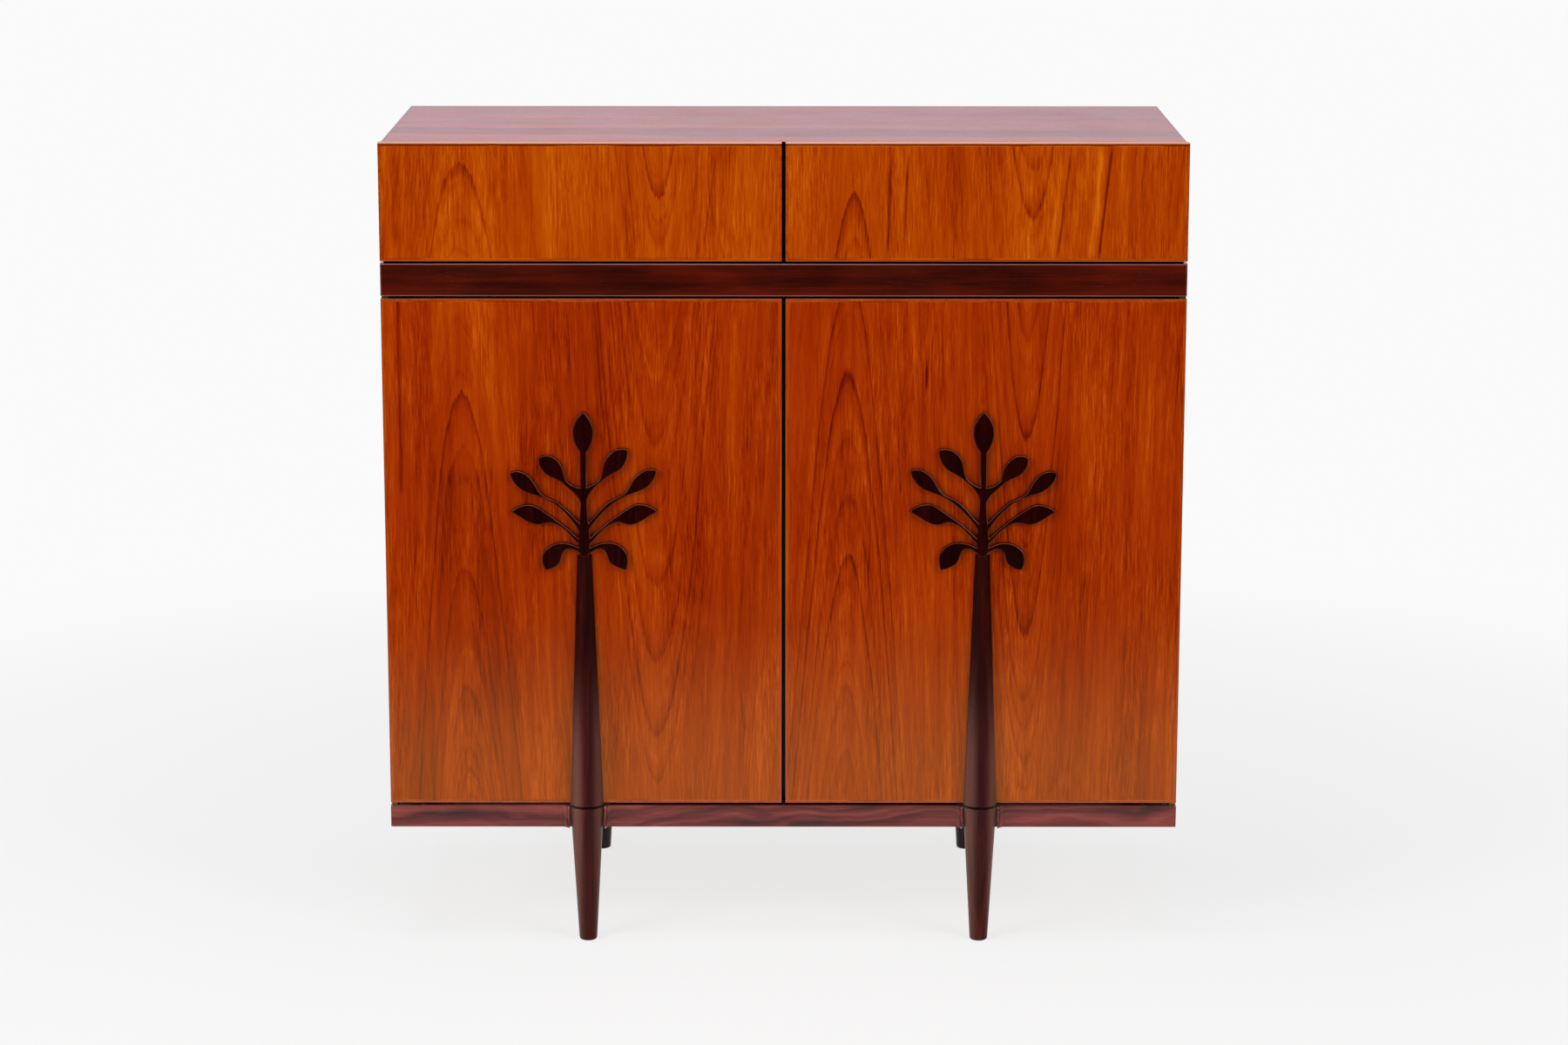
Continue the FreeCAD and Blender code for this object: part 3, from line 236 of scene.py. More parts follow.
class Paint:
    """A node tree, and the patterns, colours and shaders that are drawn in it."""

    # The finer layers of uneven bands, and their strength.
    BAND_LAYERS = 2.0
    BAND_ROUGHNESS = 0.6
    # The sockets of a Mix node for colours, by number, because their names repeat.
    FACTOR, FIRST, SECOND, MIXED = 0, 6, 7, 2

    def __init__(self, tree: bpy.types.NodeTree) -> None:
        """Takes a tree and empties it."""
        self.tree = tree
        tree.nodes.clear()

    def node(self, kind: str, settings: dict | None = None, inputs: dict | None = None) -> bpy.types.Node:
        """Adds one node.

        Args:
            kind: The node's type.
            settings: What is set first: its properties, or the stops of a ramp.
            inputs: Values or links of its sockets, by name or number.

        Returns:
            The new node.
        """
        made = self.tree.nodes.new(kind)
        for name, value in (settings or {}).items():
            if name == "stops":
                self._fill(made.color_ramp, value)
            else:
                setattr(made, name, value)
        for name, value in (inputs or {}).items():
            source = value.socket if isinstance(value, Signal) else value
            if isinstance(source, Socket):
                self.tree.links.new(source, made.inputs[name])
            else:
                made.inputs[name].default_value = source
        return made

    @staticmethod
    def _fill(ramp: bpy.types.ColorRamp, stops: Stops) -> None:
        """Puts stops on a ramp in place of its own two.

        Args:
            ramp: The ramp.
            stops: Places on it, from 0 to 1, and their colours.
        """
        while len(ramp.elements) > 1:
            ramp.elements.remove(ramp.elements[-1])
        ramp.elements[0].position, ramp.elements[0].color = stops[0]
        for position, shade in stops[1:]:
            ramp.elements.new(position).color = shade

    def place(self, along: Along = Along.Z, shift: Triple = STILL) -> Socket:
        """Gives the place on the object, turned so that the grain runs along Z.

        Args:
            along: The way of the grain.
            shift: How far the pattern is moved, so that like boards differ.

        Returns:
            The place as a vector.
        """
        source = self.node("ShaderNodeTexCoord").outputs["Object"]
        turn = {"Vector": source, "Location": shift, "Rotation": along.value}
        return self.node("ShaderNodeMapping", None, turn).outputs["Vector"]

    def here(self) -> tuple[Signal, Signal, Signal]:
        """Gives the place on the object as three numbers."""
        return self.parts(self.place())

    def parts(self, vector: Socket) -> tuple[Signal, Signal, Signal]:
        """Splits a vector into its three numbers."""
        made = self.node("ShaderNodeSeparateXYZ", None, {"Vector": vector})
        return tuple(Signal(self, made.outputs[name]) for name in "XYZ")

    def vector(self, x: Signal | float, y: Signal | float, z: Signal | float) -> Socket:
        """Joins three numbers into a vector."""
        return self.node("ShaderNodeCombineXYZ", None, {"X": x, "Y": y, "Z": z}).outputs["Vector"]

    def noise(self, vector: Socket, clouds: Clouds) -> Signal:
        """Gives cloud noise.

        Args:
            vector: The place.
            clouds: The pattern.

        Returns:
            The noise, 0 to 1, about its middle of 0.5.
        """
        spread = self.node("ShaderNodeVectorMath", {"operation": "MULTIPLY"}, {0: vector, 1: clouds.scale})
        made = self.node(
            "ShaderNodeTexNoise",
            {"noise_dimensions": "3D"},
            {"Vector": spread.outputs["Vector"], "Scale": 1.0, "Detail": clouds.detail,
             "Roughness": clouds.roughness},
        )
        return Signal(self, made.outputs["Fac"])

    def swing(self, vector: Socket, clouds: Clouds) -> Signal:
        """Gives cloud noise about 0, as wide as its reach."""
        return (self.noise(vector, clouds) - MIDDLE) * clouds.reach

    def spots(self, vector: Socket, clouds: Clouds) -> Signal:
        """Gives spots of 1 on 0, where cloud noise passes its ends."""
        return self.noise(vector, clouds).step(*clouds.ends)

    def bands(self, height: Signal, width: float) -> Signal:
        """Gives bands of uneven tone along one number.

        Args:
            height: The number.
            width: The usual width of a band.

        Returns:
            The tone, 0 to 1, about its middle of 0.5.
        """
        made = self.node(
            "ShaderNodeTexNoise",
            {"noise_dimensions": "1D"},
            {"W": height, "Scale": 1 / width, "Detail": self.BAND_LAYERS, "Roughness": self.BAND_ROUGHNESS},
        )
        return Signal(self, made.outputs["Fac"])

    def _ends(self, box: Box, width: float, full: float) -> tuple[Signal, Signal, Signal]:
        """Marks the two ends of a box, each way.

        Args:
            box: The lowest and highest corners of the box.
            width: How far a mark reaches from an end.
            full: How far from an end it is full.

        Returns:
            The marks along X, Y and Z, 1 at the ends.
        """
        marks = []
        for part, low, high in zip(self.here(), *box):
            half = (high - low) / 2
            marks.append((part - (low + half)).size().step(half - width, half - full))
        return tuple(marks)

    def arrises(self, box: Box, width: float) -> Signal:
        """Marks the sharp edges of a box.

        Args:
            box: The lowest and highest corners of the box.
            width: How far the mark reaches from an edge.

        Returns:
            The mark, 1 on an edge.
        """
        x, y, z = self._ends(box, width, 0.0)
        return x * y + y * z + z * x

    def attribute(self, name: str) -> Signal:
        """Reads a number that the piece's mesh holds at its points."""
        return Signal(self, self.node("ShaderNodeAttribute", {"attribute_name": name}).outputs["Fac"])

    def border(self, box: Box, width: float) -> Signal:
        """Marks the border of a box's front.

        Args:
            box: The lowest and highest corners of the box.
            width: How far the mark reaches inwards.

        Returns:
            The mark, 1 or more on the border.
        """
        x, _, z = self._ends(box, width, width / 2)
        return x + z

    def joints(self, height: Signal, width: float) -> Signal:
        """Gives the distance to the nearest of many uneven joints along one number.

        Args:
            height: The number.
            width: The usual distance between two joints, which counts as 1.

        Returns:
            The distance.
        """
        made = self.node(
            "ShaderNodeTexVoronoi",
            {"voronoi_dimensions": "1D", "feature": "DISTANCE_TO_EDGE"},
            {"W": height / width, "Scale": 1.0},
        )
        return Signal(self, made.outputs["Distance"])

    def ramp(self, factor: Signal, stops: Stops) -> Socket:
        """Turns a number into a colour along stops."""
        return self.node("ShaderNodeValToRGB", {"stops": stops}, {"Fac": factor}).outputs["Color"]

    def mix(self, factor: Signal | float, first: Socket | Colour, second: Socket | Colour) -> Socket:
        """Mixes two colours.

        Args:
            factor: The share of the second.
            first: The colour where the factor is 0.
            second: The colour where it is 1.

        Returns:
            The mixed colour.
        """
        settings = {"data_type": "RGBA", "clamp_factor": True}
        inputs = {self.FACTOR: factor, self.FIRST: first, self.SECOND: second}
        return self.node("ShaderNodeMix", settings, inputs).outputs[self.MIXED]

    def glow(self, shade: Socket | Colour) -> Socket:
        """Gives a plain light of one colour."""
        return self.node("ShaderNodeEmission", None, {"Color": shade, "Strength": 1.0}).outputs[0]

    def blend(self, factor: Signal, first: Socket, second: Socket) -> Socket:
        """Blends two shaders, the second where the factor is 1."""
        return self.node("ShaderNodeMixShader", None, {0: factor, 1: first, 2: second}).outputs[0]

    def rays(self) -> tuple[Signal, Signal]:
        """Tells rays apart by where they come from.

        Returns:
            1 for a ray of the camera, and 1 for a ray that was mirrored or went through glass.
        """
        paths = self.node("ShaderNodeLightPath")
        seen, mirrored, through = (Signal(self, paths.outputs[f"Is {kind} Ray"])
                                   for kind in ("Camera", "Glossy", "Transmission"))
        return seen, mirrored + through

    def bump(self, height: Signal, depth: float, strength: float) -> Socket:
        """Raises the surface by a height from 0 to 1 times a depth in metres."""
        made = self.node("ShaderNodeBump", None, {"Strength": strength, "Distance": depth, "Height": height})
        return made.outputs["Normal"]

    def finish(self, **inputs: object) -> None:
        """Ends the tree in a Principled surface.

        Args:
            inputs: Its sockets by name, with low lines for spaces.
        """
        named = {name.replace("_", " "): value for name, value in inputs.items()}
        surface = self.node("ShaderNodeBsdfPrincipled", None, named)
        self.node("ShaderNodeOutputMaterial", None, {"Surface": surface.outputs[0]})


def material(name: str) -> tuple[bpy.types.Material, Paint]:
    """Starts a material.

    Args:
        name: Its name.

    Returns:
        The material and the paint on its tree.
    """
    made = bpy.data.materials.new(name)
    made.use_nodes = True
    return made, Paint(made.node_tree)


@dataclass(frozen=True)
class Tones:
    """The colours of a wood from its darkest lines to its palest."""

    deep: Colour
    dark: Colour
    middle: Colour
    pale: Colour
    bright: Colour

    PLACES = (0.0, 0.32, 0.5, 0.68, 1.0)

    def stops(self) -> Stops:
        """The colours as stops of a ramp."""
        return list(zip(self.PLACES, (self.deep, self.dark, self.middle, self.pale, self.bright)))


def tones(*levels: Triple) -> Tones:
    """Makes a wood's tones from five screen colours, the darkest first."""
    return Tones(*(colour(*shade) for shade in levels))


DOOR_TONES = tones((104, 16, 0), (148, 37, 0), (163, 48, 1), (176, 61, 3), (202, 88, 8))
DRAWER_TONES = tones((122, 28, 0), (165, 54, 0), (178, 67, 1), (190, 80, 4), (214, 108, 14))
CASE_TONES = tones((92, 14, 0), (138, 34, 2), (157, 46, 4), (174, 60, 6), (200, 86, 14))
LIPPING_TONES = tones((104, 24, 2), (146, 48, 4), (161, 60, 7), (174, 72, 10), (204, 104, 34))
ROSEWOOD_TONES = tones((24, 4, 2), (52, 11, 5), (70, 16, 5), (92, 20, 7), (126, 26, 12))
RAIL_TONES = tones((44, 6, 6), (88, 24, 19), (106, 36, 30), (122, 46, 38), (148, 62, 50))
TURNED_TONES = tones((14, 1, 1), (32, 5, 4), (40, 8, 6), (52, 12, 8), (84, 26, 10))
# Paler tones near the floor: a painted reflection of the bright floor on the turned pieces.
FLOOR_REFLECTION_TONES = tones((28, 6, 6), (54, 16, 14), (66, 21, 18), (80, 28, 22), (116, 46, 26))
CARVED_TONES = tones((8, 0, 0), (26, 1, 1), (33, 2, 1), (42, 4, 2), (60, 8, 4))
INSIDE_TONES = tones((150, 104, 60), (184, 140, 92), (198, 156, 108), (210, 170, 122), (224, 190, 146))
PLY_TONES = tones((150, 112, 72), (190, 152, 104), (203, 167, 118), (214, 180, 132), (228, 198, 154))


@dataclass(frozen=True)
class Arch:
    """One bold ring in the figure.

    Attributes:
        apex: Height of its tip on the leaf's axis.
        depth: How much it darkens the wood, or lightens it where negative.
        fade: How far the tone runs out inside the arch.
    """

    apex: float
    depth: float
    fade: float = 0.035

    # How far outside the tip the tone starts, how far inside it the sharp line ends, and what is left there.
    EDGE = 0.004
    LINE = 0.013
    INSIDE = 0.40

    def stops(self, rise: int) -> list[tuple[float, float]]:
        """Gives its tone at heights on the axis, from the outside in.

        Args:
            rise: 1 where the tip points up, -1 where it points down.

        Returns:
            Pairs of height and tone.
        """
        line_end = (self.LINE, self.depth * self.INSIDE)
        steps = ((-self.EDGE, 0.0), (0.0, self.depth), line_end, (self.fade, 0.0))
        return [(self.apex - rise * inward, tone) for inward, tone in steps]


@dataclass(frozen=True)
class Streak:
    """One long line in the figure.

    Attributes:
        low: X at its foot.
        high: X at its top.
        foot: Height where it starts.
        top: Height where it ends.
        depth: How much it darkens the wood, or lightens it where negative.
        width: Its half width.
    """

    low: float
    high: float
    foot: float
    top: float
    depth: float
    width: float = 0.002

    # How far from each end it fades.
    END = 0.03

    def tone(self, x: Signal, z: Signal) -> Signal:
        """Draws the line, fading at both ends.

        Args:
            x: The place across.
            z: The height.

        Returns:
            The line's tone.
        """
        lean = (self.high - self.low) / (self.top - self.foot)
        off = (x - (z - self.foot) * lean - self.low).size()
        ends = z.step(self.foot, self.foot + self.END) * z.step(self.top, self.top - self.END)
        return off.step(self.width, 0.0) * ends * self.depth


@dataclass(frozen=True)
class Leaf:
    """One leaf of veneer, sliced across the rings of a tapering log.

    Attributes:
        axis: X of the line on which the arches have their tips.
        rise: 1 where the tips point up, -1 where they point down.
        arches: Its bold rings.
        streaks: Its long lines.
        foot: Height of its lower end.
        head: Height of its upper end.
        cut: Distance of the slice from the pith.
        taper: Growth of the log's radius for each metre of its height.
    """

    axis: float
    rise: int
    arches: tuple[Arch, ...]
    streaks: tuple[Streak, ...] = ()
    foot: float = 0.12
    head: float = 0.96
    cut: float = 0.056
    taper: float = 0.06

    # How its axis sways and its rings wobble, and their feathers along the fibres.
    SWAY = Clouds((1.5, 1.0, 1.4), 1.0, reach=0.030)
    WOBBLE = Clouds((30.0, 1.0, 4.0), reach=0.050)
    FEATHER = Clouds((420.0, 1.0, 20.0), reach=0.018)
    # The soft rings, and the thin dark lines among them, which are strong only in lively places.
    BROAD_RINGS = Clouds((9.0, 1.0, 2.0), 1.0, reach=0.45)
    FINE_RINGS = Clouds((26.0, 1.0, 12.0), 2.0, 0.6, reach=0.30)
    LIVELY = Clouds((14.0, 1.0, 7.0), 1.0, ends=(0.45, 0.70))
    LINE_GAP = 0.060
    LINE_WIDTH = 0.10
    LINE_TONE = 0.22
    # The strength of the bold rings, and the share of the wobble that shakes the streaks.
    BOLD = 0.9
    SHAKE = 0.05

    def figure(self, paint: Paint, at: Socket) -> Signal:
        """Draws the leaf's tone.

        Args:
            paint: The paint of the veneer's material.
            at: The place on the object.

        Returns:
            The tone, about 0, lower in the dark lines.
        """
        x, _, z = paint.parts(at)
        wobble = paint.swing(at, self.WOBBLE)
        off = x - self.axis + paint.swing(at, self.SWAY)
        spread = ((off * off + self.cut ** 2).root() - self.cut) / self.taper
        ring = z + spread * self.rise + wobble + paint.swing(at, self.FEATHER)
        lines = paint.vector(ring, 0.0, z)
        tone = paint.swing(lines, self.BROAD_RINGS) + paint.swing(lines, self.FINE_RINGS)
        line = paint.joints(ring, self.LINE_GAP).step(self.LINE_WIDTH, 0.0)
        tone = tone - line * paint.spots(at, self.LIVELY) * self.LINE_TONE
        level = (ring - self.foot) / (self.head - self.foot)
        bold = Signal(paint, paint.ramp(level, self._bold_stops()))
        tone = tone - (bold - MIDDLE) * self.BOLD
        shaken = x + wobble * self.SHAKE
        for streak in self.streaks:
            tone = tone - streak.tone(shaken, z)
        return tone

    def _bold_stops(self) -> Stops:
        """Gives the bold rings as stops along the height.

        Returns:
            The stops, with the middle grey where there is no ring.
        """
        stops = [(self.foot, 0.0)] + [stop for arch in self.arches for stop in arch.stops(self.rise)]
        span = self.head - self.foot
        return [((height - self.foot) / span, grey(MIDDLE + tone / 2)) for height, tone in sorted(stops)]


@dataclass(frozen=True)
class Veneer:
    """A polished front of two leaves of veneer, side by side.

    Attributes:
        tones: Its colours.
        leaves: The left leaf and the right one.
        joint: X of the joint between them.
        shift: How far the fibres are moved, so that no two fronts match.
    """

    tones: Tones
    leaves: tuple[Leaf, Leaf]
    joint: float
    shift: Triple

    # The share of the thickness at each face, how much plainer the back is, and how far its fibres move.
    EDGE_SHARE = 1 / 3
    PLAIN = 0.8
    BACK_SHIFT = 7.0
    # The soft clouds of tone, and the fibres: how they wander, how fine they are and where they are lively.
    CLOUD = Clouds((14.0, 1.0, 3.2), reach=0.62)
    WANDER = Clouds((7.0, 1.0, 5.0), reach=0.010)
    FIBRE = Clouds((450.0, 1.0, 26.0), 3.0, 0.7)
    LIVELY = Clouds((18.0, 1.0, 6.0), ends=(0.32, 0.68))
    LIVELY_TONE = 1.2
    QUIET_TONE = 0.5
    STRIPE = Clouds((85.0, 1.0, 2.6), 3.0, 0.6, reach=0.75)
    # The pores, and the dark and bright remains of glue round the border.
    PORES = Clouds((1500.0, 1.0, 70.0), 1.0, ends=(0.36, 0.24))
    PORE_TONE = 0.55
    GLUE = Clouds((16.0, 16.0, 16.0))
    GLUE_PLACES = (0.42, 0.56)
    GLUE_WIDTH = 0.0012
    GLUE_SHARE = 0.7
    # The polish, its smears and its tint, and the relief under it, by its depth in metres and strength.
    GLOSS = 0.13
    SMEAR = Clouds((7.0, 7.0, 7.0), 3.0, reach=0.10)
    PORE_DULL = 0.10
    MIRROR = 0.65
    MIRROR_TINT = (1.0, 0.94, 0.27, 1.0)
    FIBRE_RISE = 0.35
    PORE_SINK = 0.65
    RELIEF = (0.00006, 0.5)

    def build(self, name: str, box: Box) -> bpy.types.Material:
        """Makes the material.

        Args:
            name: Its name.
            box: The box of the panel that it covers.

        Returns:
            The material.
        """
        made, paint = material(name)
        at = paint.place()
        x, y, z = paint.parts(at)
        front, back = box[0][1], box[1][1]
        inwards = (back - front) * self.EDGE_SHARE
        behind = y.step(front + inwards, back - inwards)
        left, right = (leaf.figure(paint, at) for leaf in self.leaves)
        tone = (left + (right - left) * (x > self.joint)) * (1.0 - behind * self.PLAIN) + MIDDLE
        moved = paint.place(Along.Z, self.shift)
        fibres = paint.vector(x + paint.swing(moved, self.WANDER), behind * self.BACK_SHIFT, z)
        fibre = paint.noise(fibres, self.FIBRE)
        pore = paint.spots(fibres, self.PORES)
        depth = paint.spots(moved, self.LIVELY) * self.LIVELY_TONE + self.QUIET_TONE
        tone = tone + paint.swing(moved, self.CLOUD) + (fibre - MIDDLE) * depth
        wood = paint.ramp(tone + paint.swing(fibres, self.STRIPE), self.tones.stops())
        wood = paint.mix(pore * self.PORE_TONE, wood, self.tones.deep)
        stops = list(zip(self.GLUE_PLACES, (self.tones.deep, self.tones.bright)))
        glue = paint.ramp(paint.noise(at, self.GLUE), stops)
        wood = paint.mix(paint.border(box, self.GLUE_WIDTH) * self.GLUE_SHARE, wood, glue)
        paint.finish(
            Base_Color=wood,
            Roughness=self.GLOSS + paint.swing(at, self.SMEAR) + pore * self.PORE_DULL,
            Specular_IOR_Level=self.MIRROR,
            Specular_Tint=self.MIRROR_TINT,
            Normal=paint.bump(fibre * self.FIBRE_RISE - pore * self.PORE_SINK, *self.RELIEF),
        )
        return made


@dataclass(frozen=True)
class Board:
    """A board or turned piece of solid wood, with its rings right through it.

    Attributes:
        tones: Its colours.
        gloss: Roughness of the finish.
        ring: Usual width of a growth ring.
        pith: Where the log's middle lies, across the grain.
        figure: Strength of the rings.
        streak: Strength of the long streaks.
        pores: Strength of the pores.
        shine: Strength of its mirror, where 0.5 is a varnish's.
        stained_front: Whether its front edge is painted dark, as shade in the gaps between the fronts.
        patch: Strength of its soft patches.
        foot: Its colours near the floor, paler there as a painted reflection of the bright floor.
        worn: How strongly light and shade are painted on its arrises.
        rub: The colour painted on its arrises, where not its brightest: a highlight on most woods, shade on
            the top panel.
        crown: The colour of a highlight painted on its top face, where not as the rest.
        soot: The colour of a line of shade painted under that face.
        wave: How far its rings waver.
        eased: The attribute that holds a painted highlight on its eased arrises, strongest where they face
            up, if any.
        arris: How far the painted edge colour reaches from an arris.
        haze: The colour of a highlight painted on the flanks of its foot, if any.
    """

    tones: Tones
    gloss: float
    ring: float = 0.004
    pith: tuple[float, float] = (0.05, 0.09)
    figure: float = 0.9
    streak: float = 0.7
    pores: float = 0.5
    shine: float = 0.5
    stained_front: bool = False
    patch: float = 0.3
    foot: Tones | None = None
    worn: float = 0.45
    rub: Colour | None = None
    crown: Colour | None = None
    soot: Colour | None = None
    wave: float = 0.0
    eased: str = ""
    arris: float = 0.0016
    haze: Colour | None = None

    # How the rings taper, sway, jag and waver.
    TAPER = 0.02
    SWAY = Clouds((7.0, 7.0, 1.6), reach=0.05)
    JAG = Clouds((300.0, 300.0, 9.0), reach=0.003)
    WAVER = Clouds((26.0, 26.0, 9.0))
    # The long streaks, the fibres, the soft patches and the pores.
    STREAKS = Clouds((70.0, 70.0, 1.3), 3.0, 0.6)
    FIBRE = Clouds((900.0, 900.0, 25.0))
    FIBRE_TONE = 0.4
    PATCHES = Clouds((45.0, 45.0, 8.0))
    PORES = Clouds((1400.0, 1400.0, 60.0), 1.0, ends=(0.37, 0.25))
    # The smears of the finish, and its relief, with its depth in metres and its strength.
    SMEAR = Clouds((11.0, 11.0, 11.0), 3.0, reach=0.14)
    PORE_DULL = 0.12
    FIBRE_RISE = 0.4
    PORE_SINK = 0.6
    RELIEF = (0.00008, 0.5)
    # Heights where the painted floor reflection fades out, how dull it gets, and the painted flank
    # highlight.
    THINNED = (0.44, 0.25)
    SCUFF = 0.15
    LEFT_FLANK = (-0.001, -0.016)
    RIGHT_FLANK = (0.006, 0.018)
    RIGHT_SHARE = 0.6
    HAZE_LEAST = 0.25
    HAZE_STREAKS = 0.7
    # Streak levels that make painted edge shading uneven, each mark's least share, and the shade line's
    # width.
    UNEVEN = (0.25, 0.55)
    LEAST_RUB = 0.35
    LEAST_GRIME = 0.55
    LEAST_CROWN = 0.6
    GRIME = 0.0024

    def build(self, name: str, along: Along, shift: Triple = STILL,
              box: Box | None = None) -> bpy.types.Material:
        """Makes the material.

        Args:
            name: Its name.
            along: The way of the grain.
            shift: How far the pattern is moved.
            box: The box on whose arrises light and shade are painted, if any.

        Returns:
            The material.
        """
        made, paint = material(name)
        at = paint.place(along, shift)
        x, y, z = paint.parts(at)
        across, through = x - self.pith[0], y - self.pith[1]
        sway = paint.swing(at, self.SWAY)
        if self.wave:
            sway = sway + (paint.noise(at, self.WAVER) - MIDDLE) * self.wave
        radius = (across * across + through * through).root() + z * self.TAPER
        rings = paint.bands(radius + sway + paint.swing(at, self.JAG), self.ring)
        streaks = paint.noise(at, self.STREAKS)
        fibre = paint.noise(at, self.FIBRE)
        pore = paint.spots(at, self.PORES)
        tone = MIDDLE + (rings - MIDDLE) * self.figure + (streaks - MIDDLE) * self.streak
        tone = tone + (fibre - MIDDLE) * self.FIBRE_TONE
        tone = tone + (paint.noise(at, self.PATCHES) - MIDDLE) * self.patch
        wood = paint.ramp(tone, self.tones.stops())
        dull = 0.0
        if self.foot:
            wood, dull = self._thinned(paint, wood, tone, sway, streaks)
        wood = paint.mix(pore * self.pores, wood, self.tones.deep)
        # Painted shade: the case boards' front edges are darkened, standing in for the shade in the gaps
        # between the fronts.
        if self.stained_front:
            _, depth, _ = paint.here()
            wood = paint.mix(depth.step(CASE_FRONT + PAINT_FADE, CASE_FRONT), wood, CARVED_TONES.middle)
        paint.finish(
            Base_Color=self._rubbed(paint, wood, streaks.step(*self.UNEVEN), box),
            Roughness=self.gloss + paint.swing(at, self.SMEAR) + pore * self.PORE_DULL + dull,
            Specular_IOR_Level=self.shine,
            Normal=paint.bump(fibre * self.FIBRE_RISE - pore * self.PORE_SINK, *self.RELIEF),
        )
        return made

    def _thinned(self, paint: Paint, wood: Socket, tone: Signal, sway: Signal,
                 streaks: Signal) -> tuple[Socket, Signal]:
        """Pales the wood towards the floor as a painted reflection, and paints a highlight on its flanks.

        Args:
            paint: The paint of the wood's material.
            wood: The colour away from the floor.
            tone: The tone of the grain.
            sway: How far the top of the painted floor reflection swings up and down.
            streaks: The long streaks, which break up the painted flank highlight.

        Returns:
            The colour, and how much duller the finish is.
        """
        beside, _, height = paint.here()
        # Painted reflection: the wood turns paler towards the floor, standing in for the bright floor's
        # reflection.
        floor_reflection = (height + sway).step(*self.THINNED)
        wood = paint.mix(floor_reflection, wood, paint.ramp(tone, self.foot.stops()))
        # Painted highlight: a pale sheen on both flanks of each trunk and front leg, stronger on the left.
        off = beside - ((beside > 0.0) * 2.0 - 1.0) * TREE_X
        highlight_sides = off.step(*self.LEFT_FLANK) + off.step(*self.RIGHT_FLANK) * self.RIGHT_SHARE
        flank_light = highlight_sides * floor_reflection * floor_reflection * (self.HAZE_LEAST + streaks * self.HAZE_STREAKS)
        return paint.mix(flank_light, wood, self.haze), floor_reflection * self.SCUFF

    def _rubbed(self, paint: Paint, wood: Socket, uneven: Signal, box: Box | None) -> Socket:
        """Paints highlight and shade along the arrises, and a highlight with a shade line under it at the
        top face.

        Args:
            paint: The paint of the wood's material.
            wood: The colour before.
            uneven: A share that makes the painted edge shading uneven.
            box: The box on whose arrises light and shade are painted, if any.

        Returns:
            The colour.
        """
        rub = self.rub or self.tones.bright
        # Painted highlight, or on the top panel painted shade, along the box's arrises.
        if box:
            wood = paint.mix(paint.arrises(box, self.arris) * uneven * self.worn, wood, rub)
        # Painted highlight on the eased rims that the attribute marks.
        if self.eased:
            mark = paint.attribute(self.eased)
            wood = paint.mix(mark * uneven.lifted(self.LEAST_RUB) * self.worn, wood, rub)
        # Painted shade: a dark line just under the top face; then a painted highlight on the top face
        # itself.
        if box and self.crown:
            _, _, height = paint.here()
            top = box[1][2]
            under = top - self.GRIME
            shade_line = height.step(under - PAINT_FADE, under) * uneven.lifted(self.LEAST_GRIME)
            wood = paint.mix(shade_line, wood, self.soot)
            top_highlight_share = height.step(top - PAINT_FADE, top - PAINT_FADE / 2) * uneven.lifted(self.LEAST_CROWN)
            wood = paint.mix(top_highlight_share, wood, self.crown)
        return wood


@dataclass(frozen=True)
class Metal:
    """A brushed or plated metal.

    Attributes:
        face: Its colour.
        tarnish: The colour of its dull patches.
        gloss: Roughness of its clean places.
    """

    face: Colour
    tarnish: Colour
    gloss: float

    # The brush marks and the dull patches, what they do to colour and gloss, and the relief.
    BRUSHED = Clouds((4000.0, 4000.0, 120.0), 1.0)
    PATCHES = Clouds((45.0, 45.0, 45.0), 3.0, ends=(0.42, 0.68))
    PATCH_TONE = 0.6
    PATCH_DULL = 0.18
    BRUSH_DULL = 0.12
    RELIEF = (0.00003, 0.5)

    def build(self, name: str) -> bpy.types.Material:
        """Makes the material.

        Args:
            name: Its name.

        Returns:
            The material.
        """
        made, paint = material(name)
        at = paint.place()
        brushed = paint.noise(at, self.BRUSHED)
        patch = paint.spots(at, self.PATCHES)
        paint.finish(
            Base_Color=paint.mix(patch * self.PATCH_TONE, self.face, self.tarnish),
            Metallic=1.0,
            Roughness=self.gloss + patch * self.PATCH_DULL + (brushed - MIDDLE) * self.BRUSH_DULL,
            Normal=paint.bump(brushed, *self.RELIEF),
        )
        return made


@dataclass(frozen=True)
class Moulded:
    """A moulded plastic.

    Attributes:
        face: Its colour.
        gloss: Its roughness.
    """

    face: Colour
    gloss: float

    # The fine grain, the places of wear, what they do to colour and gloss, and the relief.
    GRAIN = Clouds((2600.0, 2600.0, 2600.0))
    WEAR = Clouds((60.0, 60.0, 60.0))
    WEAR_START = 0.4
    WEAR_TONE = 0.8
    WEAR_DULL = 0.2
    WORN = grey(0.12)
    RELIEF = (0.00005, 0.4)

    def build(self, name: str) -> bpy.types.Material:
        """Makes the material.

        Args:
            name: Its name.

        Returns:
            The material.
        """
        made, paint = material(name)
        at = paint.place()
        wear = paint.noise(at, self.WEAR)
        paint.finish(
            Base_Color=paint.mix((wear - self.WEAR_START) * self.WEAR_TONE, self.face, self.WORN),
            Roughness=self.gloss + (wear - MIDDLE) * self.WEAR_DULL,
            Normal=paint.bump(paint.noise(at, self.GRAIN), *self.RELIEF),
        )
        return made


# The heights between which the figure of the drawers' fronts is drawn.
DRAWER_FOOT = 0.88
DRAWER_HEAD = 1.12

